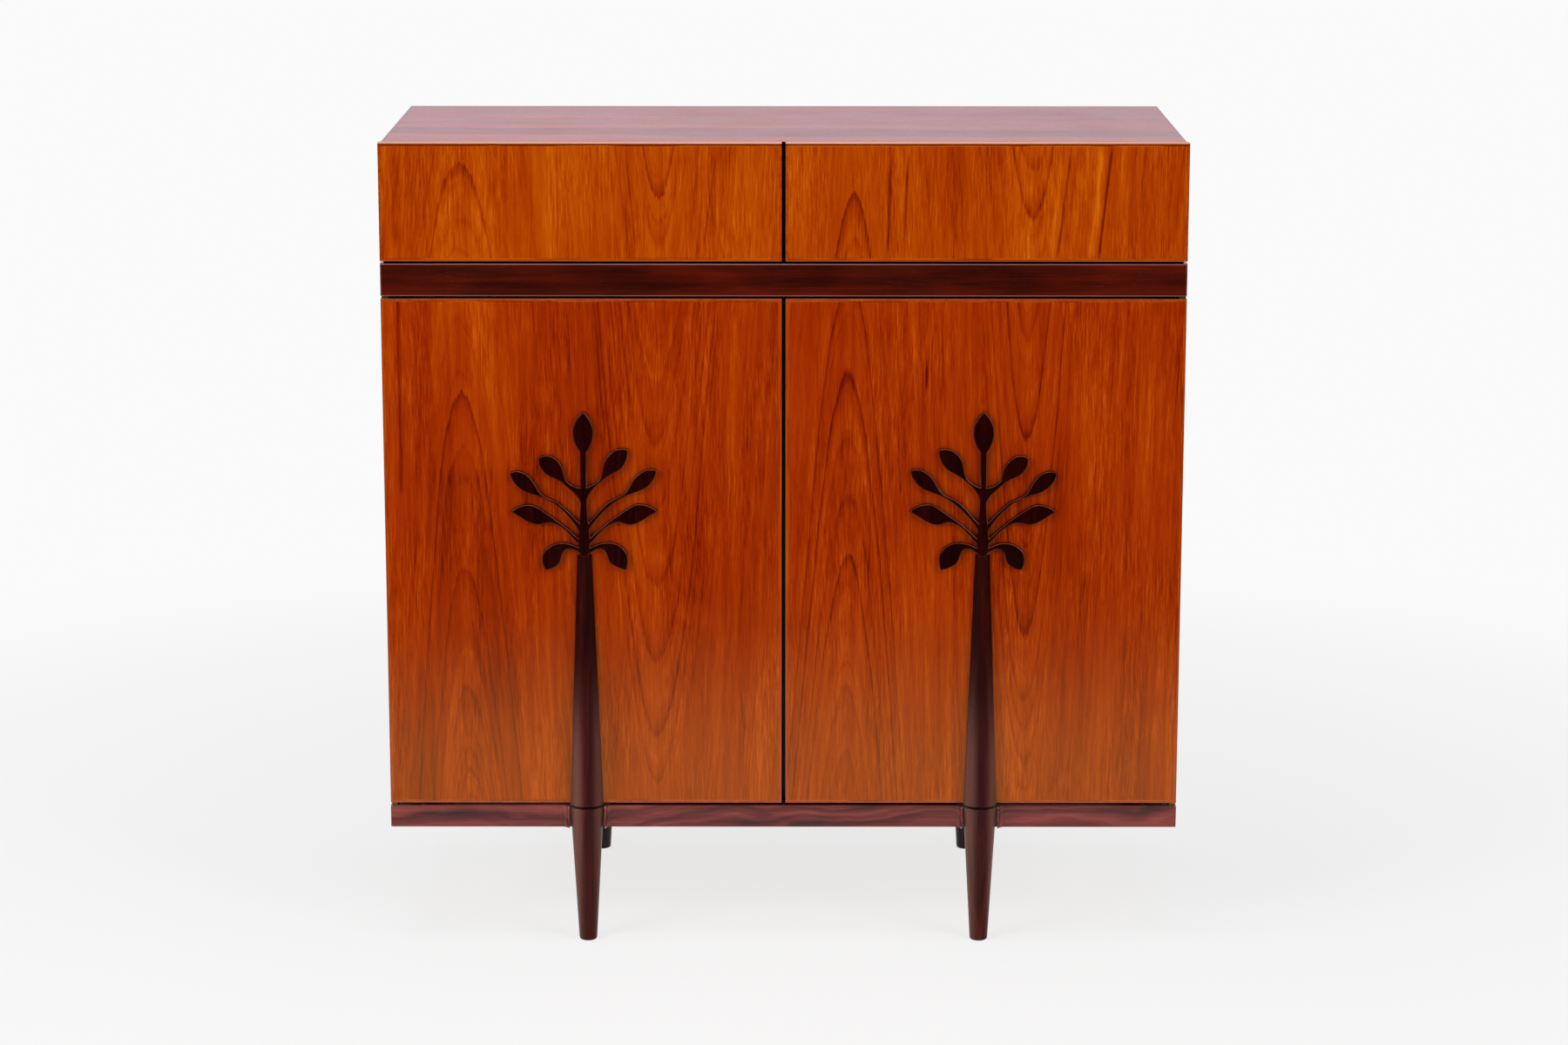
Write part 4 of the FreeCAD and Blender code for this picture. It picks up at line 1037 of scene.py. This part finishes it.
LEFT_DOOR_LEAVES = (
    Leaf(-0.422, 1, (
        Arch(0.750, 1.00, 0.066), Arch(0.681, 0.40), Arch(0.643, 0.20, 0.025), Arch(0.513, 0.65, 0.045),
        Arch(0.401, -0.40, 0.030), Arch(0.346, 0.55), Arch(0.262, 0.45),
    ), (Streak(-0.503, -0.503, 0.60, 0.90, 0.28, 0.004), Streak(-0.400, -0.400, 0.30, 0.66, 0.10, 0.110))),
    Leaf(-0.168, -1, (
        Arch(0.763, -0.45), Arch(0.681, 0.45), Arch(0.590, 0.30), Arch(0.483, 0.50),
        Arch(0.388, 0.65), Arch(0.288, 0.65), Arch(0.221, 0.50),
    ), cut=0.060, taper=0.065),
)
RIGHT_DOOR_LEAVES = (
    Leaf(0.082, 1, (
        Arch(0.895, 0.90), Arch(0.773, 1.10, 0.045), Arch(0.698, 0.45), Arch(0.615, 0.40),
        Arch(0.526, 0.95, 0.050), Arch(0.341, 0.50), Arch(0.256, 0.50),
    ), (Streak(0.187, 0.187, 0.74, 0.80, 0.9, 0.003), Streak(0.204, 0.204, 0.72, 0.79, 0.9, 0.002))),
    Leaf(0.321, -1, (
        Arch(0.816, 0.50), Arch(0.686, 1.10, 0.045), Arch(0.560, 0.30), Arch(0.428, 0.95, 0.050),
        Arch(0.326, 0.60), Arch(0.236, 0.45),
    ), cut=0.048, taper=0.048),
)
LEFT_DRAWER_LEAVES = (
    Leaf(-0.418, 1, (Arch(1.052, 0.75, 0.016), Arch(0.985, 0.35), Arch(0.945, 0.30)), (
        Streak(-0.505, -0.500, 0.93, 1.08, 0.30, 0.010), Streak(-0.300, -0.300, 0.90, 1.09, -0.25, 0.030),
    ), DRAWER_FOOT, DRAWER_HEAD, 0.056, 0.10),
    Leaf(-0.168, -1, (Arch(1.004, 0.95, 0.020), Arch(0.945, 0.30)), (
        Streak(-0.192, -0.205, 0.93, 1.07, 0.35), Streak(-0.105, -0.088, 0.93, 1.06, 0.3),
    ), DRAWER_FOOT, DRAWER_HEAD, 0.040, 0.07),
)
RIGHT_DRAWER_LEAVES = (
    Leaf(0.085, 1, (Arch(1.011, 1.10, 0.050), Arch(0.950, 0.40)), (
        Streak(0.135, 0.139, 0.92, 1.07, 0.45, 0.003), Streak(0.156, 0.162, 0.92, 1.07, 0.40, 0.003),
    ), DRAWER_FOOT, DRAWER_HEAD, 0.030, 0.10),
    Leaf(0.321, -1, (Arch(0.977, 0.85), Arch(1.040, 0.45)), (
        Streak(0.408, 0.425, 0.91, 1.08, 0.6, 0.003), Streak(0.398, 0.412, 0.91, 1.08, -0.36, 0.008),
        Streak(0.355, 0.372, 0.92, 1.07, 0.4, 0.003), Streak(0.346, 0.362, 0.92, 1.07, -0.25, 0.007),
    ), DRAWER_FOOT, DRAWER_HEAD, 0.048, 0.08),
)


class Finishes:
    """Every finish of the cabinet, made once for each way of its grain."""

    MILLIMETRES = 1000
    WOODS = {
        # Painted shade on the front edges, for the gaps between the fronts.
        "case_veneer": Board(CASE_TONES, gloss=0.16, ring=0.006, pith=(0.02, 0.35), figure=0.8, streak=1.2,
                             pores=0.4, stained_front=True),
        # Painted shade: dark front edges for the gaps, and a dark line along the top panel's arrises.
        "top_veneer": Board(CASE_TONES, gloss=0.16, ring=0.034, pith=(0.02, 0.35), figure=1.1, streak=0.9,
                            pores=0.4, stained_front=True, patch=0.5, worn=0.9, rub=colour(60, 22, 24),
                            arris=0.0035),
        # Painted highlight: a pale line along the lipping's arrises.
        "edge_lipping": Board(LIPPING_TONES, gloss=0.16, figure=0.5, streak=0.4, pores=0.3),
        # Painted highlight on the arrises and top face, with a painted shade line just under that face.
        "drawer_lipping": Board(LIPPING_TONES, gloss=0.16, figure=0.5, streak=0.4, pores=0.3,
                                crown=colour(224, 118, 20), soot=colour(92, 26, 4)),
        # Painted highlight: a pale line along the band's arrises.
        "waist_rosewood": Board(ROSEWOOD_TONES, gloss=0.15, ring=0.030, pith=(0.00, 0.10), figure=0.35,
                                streak=0.6, pores=0.3, patch=0.75, worn=0.9, rub=colour(150, 112, 98),
                                arris=0.0022),
        # Painted highlight: a pale, broken line along the rail's arrises.
        "rail_rosewood": Board(RAIL_TONES, gloss=0.18, ring=0.009, pith=(0.03, 0.12), figure=1.4, streak=0.8,
                               pores=0.4, shine=0.40, patch=0.9, worn=0.9, rub=colour(178, 146, 136),
                               wave=0.020, arris=0.0032),
        # Painted reflection: paler towards the floor; painted highlight: a pale sheen on the flanks.
        "turned_rosewood": Board(TURNED_TONES, gloss=0.20, ring=0.008, pith=(0.30, 0.30), figure=0.8,
                                 streak=0.9, pores=0.4, shine=0.09, foot=FLOOR_REFLECTION_TONES,
                                 haze=colour(140, 96, 84)),
        # Painted highlight: the pale rim colour on the leaves' eased edges.
        "carved_rosewood": Board(CARVED_TONES, gloss=0.18, ring=0.008, pith=(0.30, 0.30), figure=0.8,
                                 streak=0.8, shine=0.18, worn=0.8, rub=colour(150, 84, 58), eased=RIM_HIGHLIGHT),
        # Painted shade: a near-black finish for the rear legs, which stand in the shade under the cabinet.
        "stained_rosewood": Board(CARVED_TONES, gloss=0.30, ring=0.008, pith=(0.30, 0.30), figure=0.8,
                                  streak=0.8, pores=0.4, shine=0.20),
        # Painted shade on the front edges, for the gaps between the fronts.
        "inside_wood": Board(INSIDE_TONES, gloss=0.55, ring=0.005, pith=(0.04, 0.30), figure=0.6, streak=0.5,
                             pores=0.4, stained_front=True),
        "plywood": Board(PLY_TONES, gloss=0.60, ring=0.006, pith=(0.04, 0.40), figure=0.6, streak=0.5,
                         pores=0.4),
    }
    OTHERS = {
        # Aged brass, darkened also as painted shade so that the pivots in the shaded door gaps read dark.
        "brass_fitting": Metal(colour(112, 86, 46), tarnish=colour(54, 38, 22), gloss=0.36),
        "steel_screw": Metal(colour(186, 186, 184), tarnish=colour(120, 116, 110), gloss=0.30),
        "catch_plastic": Moulded(colour(92, 52, 30), gloss=0.42),
    }

    def __init__(self) -> None:
        """Starts with nothing made."""
        self.made: dict[str, bpy.types.Material] = {}

    def wood(self, slot: str, along: Along, shift: Triple = STILL, rubbed: str = "") -> bpy.types.Material:
        """Gives a wood's material, made at its first use.

        Args:
            slot: The finish's name.
            along: The way of the grain.
            shift: How far the pattern is moved.
            rubbed: The solid on whose arrises light and shade are painted, if any.

        Returns:
            The material.
        """
        name = f"{rubbed or slot}_{along.name.lower()}"
        if shift != STILL:
            name += "_" + "_".join(f"{round(part * self.MILLIMETRES)}" for part in shift)
        if name not in self.made:
            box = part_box(rubbed) if rubbed else None
            self.made[name] = self.WOODS[slot].build(name, along, shift, box)
        return self.made[name]

    def other(self, slot: str) -> bpy.types.Material:
        """Gives the material of a metal or plastic, made at its first use.

        Args:
            slot: The finish's name.

        Returns:
            The material.
        """
        if slot not in self.made:
            self.made[slot] = self.OTHERS[slot].build(slot)
        return self.made[slot]


def dress(node: str, finish: bpy.types.Material) -> None:
    """Puts a finish on a solid.

    Args:
        node: The solid's name.
        finish: The material.
    """
    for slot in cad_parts[node].material_slots:
        slot.material = finish
    log.info("dressed %s with %s", node, finish.name)


def merged(node: str) -> bmesh.types.BMesh:
    """Copies a solid's mesh, with its doubles merged and its flat faces whole.

    Args:
        node: The solid's name.

    Returns:
        The copy.
    """
    shape = bmesh.new()
    shape.from_mesh(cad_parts[node].data)
    bmesh.ops.remove_doubles(shape, verts=shape.verts, dist=TOUCH)
    bmesh.ops.dissolve_limit(shape, angle_limit=FLAT_ANGLE, verts=shape.verts, edges=shape.edges)
    return shape


def eased(node: str, arris: float) -> bmesh.types.BMesh:
    """Copies a solid's mesh with all its edges eased.

    Args:
        node: The solid's name.
        arris: How far the edges are eased.

    Returns:
        The copy.
    """
    shape = merged(node)
    bmesh.ops.bevel(shape, geom=list(shape.edges), offset=arris, segments=2, affect="EDGES", profile=0.5,
                    material=-1)
    return shape


def new_piece(name: str, shape: bmesh.types.BMesh, finish: bpy.types.Material) -> bpy.types.Object:
    """Ends a shape as an object with its finish.

    Args:
        name: The object's name.
        shape: The shape, which is freed.
        finish: Its material.

    Returns:
        The object.
    """
    mesh = bpy.data.meshes.new(name)
    shape.to_mesh(mesh)
    shape.free()
    mesh.materials.append(finish)
    piece = bpy.data.objects.new(name, mesh)
    bpy.context.scene.collection.objects.link(piece)
    log.info("made %s with %s", name, finish.name)
    return piece


def longest(node: str) -> Along:
    """Gives the way that a solid is longest, which is the way of its grain.

    Args:
        node: The solid's name.

    Returns:
        The way.
    """
    low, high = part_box(node)
    size = Vector(high) - Vector(low)
    return list(Along)[max(range(3), key=lambda axis: size[axis])]


@dataclass
class Carcase:
    """The case: its boards, band, shelves and runners.

    Attributes:
        finishes: The finishes.
        log_step: How far the grain of one side panel is moved from the other's.
    """

    finishes: Finishes
    log_step: float = 0.3

    def build(self) -> None:
        """Dresses every piece of the case."""
        woods = self.finishes
        dress("top_panel", woods.wood("top_veneer", Along.X, rubbed="top_panel"))
        for side in Side:
            shift = (0.0, self.log_step * side.value, 0.0)
            dress(f"side_panel_{side.word}", woods.wood("case_veneer", Along.Z, shift))
        dress("waist_band", woods.wood("waist_rosewood", Along.X, rubbed="waist_band"))
        for node in ("bottom_panel", "waist_board", "drawer_partition", "cupboard_partition",
                     "shelf_left", "shelf_right"):
            dress(node, woods.wood("inside_wood", longest(node)))
        dress("back_panel", woods.wood("plywood", Along.Z))
        for side in Side:
            for run in ("outer", "inner"):
                node = f"{side.word}_drawer_{run}_runner"
                dress(node, woods.wood("inside_wood", longest(node)))


@dataclass
class Base:
    """The stand: its rails, turned legs and spacers.

    Attributes:
        finishes: The finishes.
        rear_shift: How far the rear rail's grain is moved from the front rail's.
    """

    finishes: Finishes
    rear_shift: Triple = (0.4, 0.0, 0.0)

    def build(self) -> None:
        """Dresses every piece of the stand."""
        woods = self.finishes
        dress("base_front_rail", woods.wood("rail_rosewood", Along.X, rubbed="base_front_rail"))
        dress("base_rear_rail", woods.wood("rail_rosewood", Along.X, self.rear_shift))
        for side in Side:
            dress(f"base_end_rail_{side.word}", woods.wood("rail_rosewood", Along.Y))
            dress(f"front_leg_{side.word}", woods.wood("turned_rosewood", Along.Z))
            # Painted shade: the rear legs get the near-black finish because they stand in shade.
            dress(f"rear_leg_{side.word}", woods.wood("stained_rosewood", Along.Z))
        dress("base_spacers", woods.wood("inside_wood", Along.X))


@dataclass
class Door:
    """One door with its veneer, lipping, half-turned trunk and spray of leaves.

    Attributes:
        side: Its side.
        finishes: The finishes.
        veneer: The veneer of its front.
        leaf_arris: How far the edges of the leaves are eased.
        rubbed_from: The way that the eased edges face where their painted highlight is strongest.
    """

    side: Side
    finishes: Finishes
    veneer: Veneer
    leaf_arris: float = 0.0010
    rubbed_from: Vector = field(default_factory=lambda: Vector((0.6, -0.3, 0.9)))

    def build(self) -> None:
        """Dresses every piece of the door."""
        woods = self.finishes
        name = f"{self.side.word}_door"
        panel = f"{name}_panel"
        dress(panel, self.veneer.build(f"door_veneer_{self.side.word}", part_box(panel)))
        dress(f"{name}_lipping", woods.wood("edge_lipping", Along.Z, rubbed=f"{name}_lipping"))
        dress(f"{name}_trunk", woods.wood("turned_rosewood", Along.Z))
        self._spray(f"{name}_leaf_spray", name)

    def _spray(self, node: str, body: str) -> None:
        """Makes the spray with its sawn edges eased, in place of the sharp one.

        Args:
            node: The solid that it stands for.
            body: The body that carries it.
        """
        shape = merged(node)
        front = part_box(node)[0][1]
        rim = [edge for edge in shape.edges if all(abs(vert.co.y - front) < TOUCH for vert in edge.verts)]
        mark = shape.verts.layers.float.new(RIM_HIGHLIGHT)
        cut = bmesh.ops.bevel(shape, geom=rim, offset=self.leaf_arris, segments=3, affect="EDGES",
                              profile=0.5, material=-1, clamp_overlap=False)
        shape.normal_update()
        # Painted highlight: each rim point gets a share by how far it faces up and to the right.
        for vert in cut["verts"]:
            inside = TOUCH < vert.co.y - front < self.leaf_arris - TOUCH
            vert[mark] = max(0.0, vert.normal.dot(self.rubbed_from)) * float(inside)
        bmesh.ops.triangulate(shape, faces=[face for face in shape.faces if len(face.verts) > QUAD])
        for face in shape.faces:
            face.smooth = abs(face.normal.y) < FLAT
        piece = new_piece(f"{body}_carved_spray", shape, self.finishes.wood("carved_rosewood", Along.Z))
        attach(piece, body)
        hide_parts(node)


@dataclass
class Drawer:
    """One drawer with its veneered front and dovetailed box.

    Attributes:
        side: Its side.
        finishes: The finishes.
        veneer: The veneer of its front.
    """

    side: Side
    finishes: Finishes
    veneer: Veneer

    def build(self) -> None:
        """Dresses every piece of the drawer."""
        woods = self.finishes
        name = f"{self.side.word}_drawer"
        front, lipping = f"{name}_front", f"{name}_front_lipping"
        dress(front, self.veneer.build(f"drawer_veneer_{self.side.word}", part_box(front)))
        dress(lipping, woods.wood("drawer_lipping", Along.X, rubbed=lipping))
        for part in ("inner_side", "outer_side", "back"):
            node = f"{name}_{part}"
            dress(node, woods.wood("inside_wood", longest(node)))
        dress(f"{name}_bottom", woods.wood("plywood", Along.X))


@dataclass
class Fittings:
    """The brass hinges and shelf pins, and every other fitting before it is made anew."""

    finishes: Finishes

    def build(self) -> None:
        """Dresses every fitting by what it is made of."""
        for name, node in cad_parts.items():
            slot = node.material_slots[0].name
            if slot in self.finishes.OTHERS:
                dress(name, self.finishes.other(slot))


@dataclass
class Screws:
    """The screws, each with a chamfer round its head and a slot across it.

    Attributes:
        finishes: The finishes.
        chamfer: Width of the chamfer.
        slot_width: Width of the slot.
        slot_depth: Its depth.
        least_head: The least area of a head's flat face.
        turn: How far each slot is turned from the one before.
    """

    finishes: Finishes
    chamfer: float = 0.0005
    slot_width: float = 0.0011
    slot_depth: float = 0.0010
    least_head: float = 4.2e-5
    turn: float = 2.4

    NODES = ("back_panel_screws", "leg_screws", "base_screws", "runner_screws")

    def build(self) -> None:
        """Makes every group of screws anew, with its slots."""
        for node in self.NODES:
            shape = merged(node)
            heads = [face for face in shape.faces if face.calc_area() > self.least_head]
            axis = heads[0].normal.copy()
            for face in shape.faces:
                face.smooth = abs(face.normal.dot(axis)) < 1.0 - FLAT
            for index, head in enumerate(heads):
                self._slot(shape, head, index * self.turn)
            piece = new_piece(f"slotted_{node}", shape, self.finishes.other("steel_screw"))
            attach(piece, "cabinet")
            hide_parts(node)

    def _slot(self, shape: bmesh.types.BMesh, head: bmesh.types.BMFace, turn: float) -> None:
        """Chamfers one head and cuts its slot.

        Args:
            shape: The mesh that holds the head.
            head: The flat face of the head.
            turn: How far the slot is turned.
        """
        axis, centre = head.normal.copy(), head.calc_center_median()
        across = Matrix.Rotation(turn, 3, axis) @ axis.orthogonal().normalized()
        ring = bmesh.ops.inset_individual(shape, faces=[head], thickness=self.chamfer, depth=0.0)["faces"]
        outer = {vert for face in ring for vert in face.verts} - set(head.verts)
        bmesh.ops.translate(shape, verts=list(outer), vec=-axis * self.chamfer)
        parts = [head, *head.edges, *head.verts]
        for sign in (-1, 1):
            place = centre + across * sign * self.slot_width / 2
            cut = bmesh.ops.bisect_plane(shape, geom=parts, dist=0.0, plane_co=place, plane_no=across)
            parts = cut["geom"]
        faces = [part for part in parts if isinstance(part, bmesh.types.BMFace)]
        strip = min(faces, key=lambda face: abs((face.calc_center_median() - centre).dot(across)))
        sunk = bmesh.ops.extrude_discrete_faces(shape, faces=[strip])["faces"][0]
        bmesh.ops.translate(shape, verts=list(sunk.verts), vec=-axis * self.slot_depth)


@dataclass
class Catch:
    """The magnetic catch of one door and its steel strike.

    Attributes:
        side: The door's side.
        finishes: The finishes.
        arris: How far the edges of the housing are eased.
        wall: Thickness of the housing's wall round the magnet.
        well: How deep the magnet's well is.
        pole_width: Width of a pole plate.
        pole_gap: Distance between the middles of the two pole plates.
    """

    side: Side
    finishes: Finishes
    arris: float = 0.0008
    wall: float = 0.0016
    well: float = 0.0008
    pole_width: float = 0.0014
    pole_gap: float = 0.0050

    def build(self) -> None:
        """Makes the housing, its pole plates and the strike."""
        name = f"{self.side.word}_door"
        housing = eased(f"{name}_catch", self.arris)
        face = min(housing.faces, key=lambda each: (each.normal.y, -each.calc_area()))
        bmesh.ops.inset_individual(housing, faces=[face], thickness=self.wall, depth=0.0)
        sunk = bmesh.ops.extrude_discrete_faces(housing, faces=[face])["faces"][0]
        bmesh.ops.translate(housing, verts=list(sunk.verts), vec=(0.0, self.well, 0.0))
        piece = new_piece(f"{self.side.word}_catch_housing", housing, self.finishes.other("catch_plastic"))
        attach(piece, "cabinet")
        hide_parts(f"{name}_catch")
        piece = new_piece(f"{self.side.word}_catch_poles", self._poles(f"{name}_catch"),
                          self.finishes.other("steel_screw"))
        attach(piece, "cabinet")
        strike = new_piece(f"{self.side.word}_strike_plate", eased(f"{name}_strike", self.arris / 2),
                           self.finishes.other("steel_screw"))
        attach(strike, name)
        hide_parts(f"{name}_strike")

    def _poles(self, node: str) -> bmesh.types.BMesh:
        """Makes the two pole plates that stand in the well, level with the housing's face.

        Args:
            node: The solid of the catch.

        Returns:
            The plates.
        """
        low, high = (Vector(corner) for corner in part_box(node))
        middle = (low + high) / 2
        size = Vector((self.pole_width, self.well, high.z - low.z - 2 * (self.arris + self.wall)))
        shape = bmesh.new()
        for sign in (-1, 1):
            place = Vector((middle.x + sign * self.pole_gap / 2, low.y + self.well / 2, middle.z))
            bmesh.ops.create_cube(shape, size=1.0, matrix=Matrix.LocRotScale(place, None, size))
        return shape


@dataclass(frozen=True)
class Lamp:
    """One square soft lamp.

    Attributes:
        name: Its name.
        place: Where its middle is.
        size: Length of its side.
        power: Its power in watts.
    """

    name: str
    place: Triple
    size: float
    power: float


@dataclass
class Studio:
    """The pale floor, the soft light and the camera.

    Attributes:
        camera_place: Where the camera stands.
        pitch: How far it looks down.
        yaw: How far it turns from straight ahead.
        roll: How far it leans.
        focal_pixels: Its focal length in pixels of the picture.
        picture_width: Width of the picture in pixels.
        sensor: Width of its sensor in millimetres.
        sight: How far it sees.
        lamps: The lamps.
        aim: Where they all point.
        fill: Light of the room from all round.
        half_floor: Half the width of the floor.
        paper: The colour of the floor and of the background.
        shadow_least: The share of paper that the camera sees in the floor close by, where the shadow lies.
        shadow_reach: The distances from the middle between which that share grows to the whole.
        half_front: Half the width of the fronts.
        mirrored: The distances from the fronts where the mirrored floor is gone and where it is whole.
        side_start: The distances from the middle between which the painted pool of light at each side grows.
        side_end: The distances from the fronts where that painted pool is gone and where it is whole.
        side_before: The places before the fronts between which it grows.
        side_shares: Its strength on the left and on the right.
        sheen: The colour of the painted pools of light, which only reflections show.
        wall: The colour of the wall that gloss mirrors.
        wall_rise: How far ahead a ray points where that wall starts and where it is whole.
    """

    camera_place: Vector = field(default_factory=lambda: Vector((0.00407, -5.3612, 1.6728)))
    pitch: float = 0.210474
    yaw: float = -0.000677
    roll: float = 0.000459
    focal_pixels: float = 4587.5
    picture_width: int = 1800
    sensor: float = 36.0
    sight: float = 100.0
    lamps: tuple[Lamp, ...] = (
        Lamp("left_light", (-3.1, -3.0, 2.4), 2.0, 90.0),
        Lamp("right_light", (3.1, -3.0, 2.4), 2.0, 76.0),
        Lamp("top_light", (-0.2, -0.3, 3.2), 1.8, 38.0),
    )
    aim: Triple = (0.0, -0.1, 0.6)
    fill: float = 0.17
    half_floor: float = 40.0
    paper: Colour = colour(250, 250, 250)
    shadow_least: float = 0.80
    shadow_reach: tuple[float, float] = (0.8, 2.4)
    half_front: float = 0.5
    mirrored: tuple[float, float] = (2.05, 0.80)
    side_start: tuple[float, float] = (0.75, 1.1)
    side_end: tuple[float, float] = (1.2, 0.7)
    side_before: tuple[float, float] = (-0.1, -0.4)
    side_shares: tuple[float, float] = (0.65, 0.45)
    sheen: Colour = grey(3.0)
    wall: Colour = (0.68, 0.63, 0.71, 1.0)
    wall_rise: tuple[float, float] = (-0.1, 0.3)

    def build(self) -> None:
        """Sets the camera, the lights, the floor and the world."""
        self._camera()
        for lamp in self.lamps:
            self._hang(lamp)
        self._floor()
        self._world()
        bpy.context.scene.view_settings.view_transform = "Standard"

    def _camera(self) -> None:
        """Stands the camera where the photograph was taken."""
        data = bpy.data.cameras.new("camera")
        data.sensor_width = self.sensor
        data.lens = self.sensor * self.focal_pixels / self.picture_width
        data.clip_end = self.sight
        level = math.cos(self.pitch)
        forward = Vector((math.sin(self.yaw) * level, math.cos(self.yaw) * level, -math.sin(self.pitch)))
        right = Vector((math.cos(self.yaw), -math.sin(self.yaw), 0.0))
        up = right.cross(forward)
        leant = math.cos(self.roll) * right + math.sin(self.roll) * up
        upright = math.cos(self.roll) * up - math.sin(self.roll) * right
        turn = Matrix((leant, upright, -forward)).transposed().to_4x4()
        camera = bpy.data.objects.new("camera", data)
        camera.matrix_world = Matrix.Translation(self.camera_place) @ turn
        bpy.context.scene.collection.objects.link(camera)
        bpy.context.scene.camera = camera

    def _hang(self, lamp: Lamp) -> None:
        """Hangs a lamp so that it looks at the cabinet.

        Args:
            lamp: The lamp.
        """
        data = bpy.data.lights.new(lamp.name, "AREA")
        data.shape = "SQUARE"
        data.size = lamp.size
        data.energy = lamp.power
        hung = bpy.data.objects.new(lamp.name, data)
        hung.location = lamp.place
        hung.rotation_euler = (Vector(self.aim) - hung.location).to_track_quat("-Z", "Y").to_euler()
        bpy.context.scene.collection.objects.link(hung)

    def _floor(self) -> None:
        """Lays the pale floor, which shows nearly as bright as paper and keeps the shadow."""
        mesh = bpy.data.meshes.new("floor")
        shape = bmesh.new()
        bmesh.ops.create_grid(shape, x_segments=1, y_segments=1, size=self.half_floor)
        shape.to_mesh(mesh)
        shape.free()
        floor = bpy.data.objects.new("floor", mesh)
        bpy.context.scene.collection.objects.link(floor)
        made, paint = material("floor")
        mesh.materials.append(made)
        x, y, _ = paint.here()
        seen, mirrored = paint.rays()
        beside = (x.size() - self.half_front).over(0.0)
        before = y - CASE_FRONT
        distance = (beside * beside + before * before).root()
        # Painted light: glowing pools at both sides of the floor, seen only in reflections, light the flanks
        # of the turned pieces.
        near, far = self.side_start
        left, right = self.side_shares
        pool_share = x.step(-near, -far) * left + x.step(near, far) * right
        pool_share = pool_share * distance.step(*self.side_end) * before.step(*self.side_before)
        sheen = paint.glow(paint.mix(pool_share, self.paper, self.sheen))
        mirror = paint.blend(distance.step(*self.mirrored), paint.glow(grey(0.0)), sheen)
        lit = paint.node("ShaderNodeBsdfDiffuse", None, {"Color": self.paper}).outputs[0]
        away = (x * x + y * y).root().step(*self.shadow_reach)
        shown = paint.blend(seen * away.lifted(self.shadow_least), lit, paint.glow(self.paper))
        whole = paint.blend(mirrored, shown, mirror)
        paint.node("ShaderNodeOutputMaterial", None, {"Surface": whole})

    def _world(self) -> None:
        """Lights the room softly, with a pale wall behind and a dark room in front."""
        world = bpy.data.worlds.new("room")
        world.use_nodes = True
        bpy.context.scene.world = world
        paint = Paint(world.node_tree)
        way = paint.node("ShaderNodeTexCoord").outputs["Generated"]
        _, ahead, _ = paint.parts(way)
        seen, mirrored = paint.rays()
        wall = paint.mix(ahead.step(*self.wall_rise), grey(0.0), self.wall)
        light = paint.mix(mirrored, grey(self.fill), wall)
        light = paint.mix(seen, light, self.paper)
        back = paint.node("ShaderNodeBackground", None, {"Color": light, "Strength": 1.0})
        paint.node("ShaderNodeOutputWorld", None, {"Surface": back.outputs[0]})


def main() -> None:
    """Builds and dresses the cabinet, then the studio."""
    logging.basicConfig(level=logging.INFO, format="%(name)s: %(message)s")
    finishes = Finishes()
    Fittings(finishes).build()
    Screws(finishes).build()
    Carcase(finishes).build()
    Base(finishes).build()
    fronts = zip(Side, (LEFT_DOOR_LEAVES, RIGHT_DOOR_LEAVES), (LEFT_DRAWER_LEAVES, RIGHT_DRAWER_LEAVES))
    for side, door_leaves, drawer_leaves in fronts:
        joint = (door_leaves[0].axis + door_leaves[1].axis) / 2
        shift = (0.0, 0.0, FIBRE_STEP * side.value)
        Door(side, finishes, Veneer(DOOR_TONES, door_leaves, joint, shift)).build()
        Catch(side, finishes).build()
        Drawer(side, finishes, Veneer(DRAWER_TONES, drawer_leaves, joint, shift)).build()
    Studio().build()


if __name__ == "__main__":
    main()
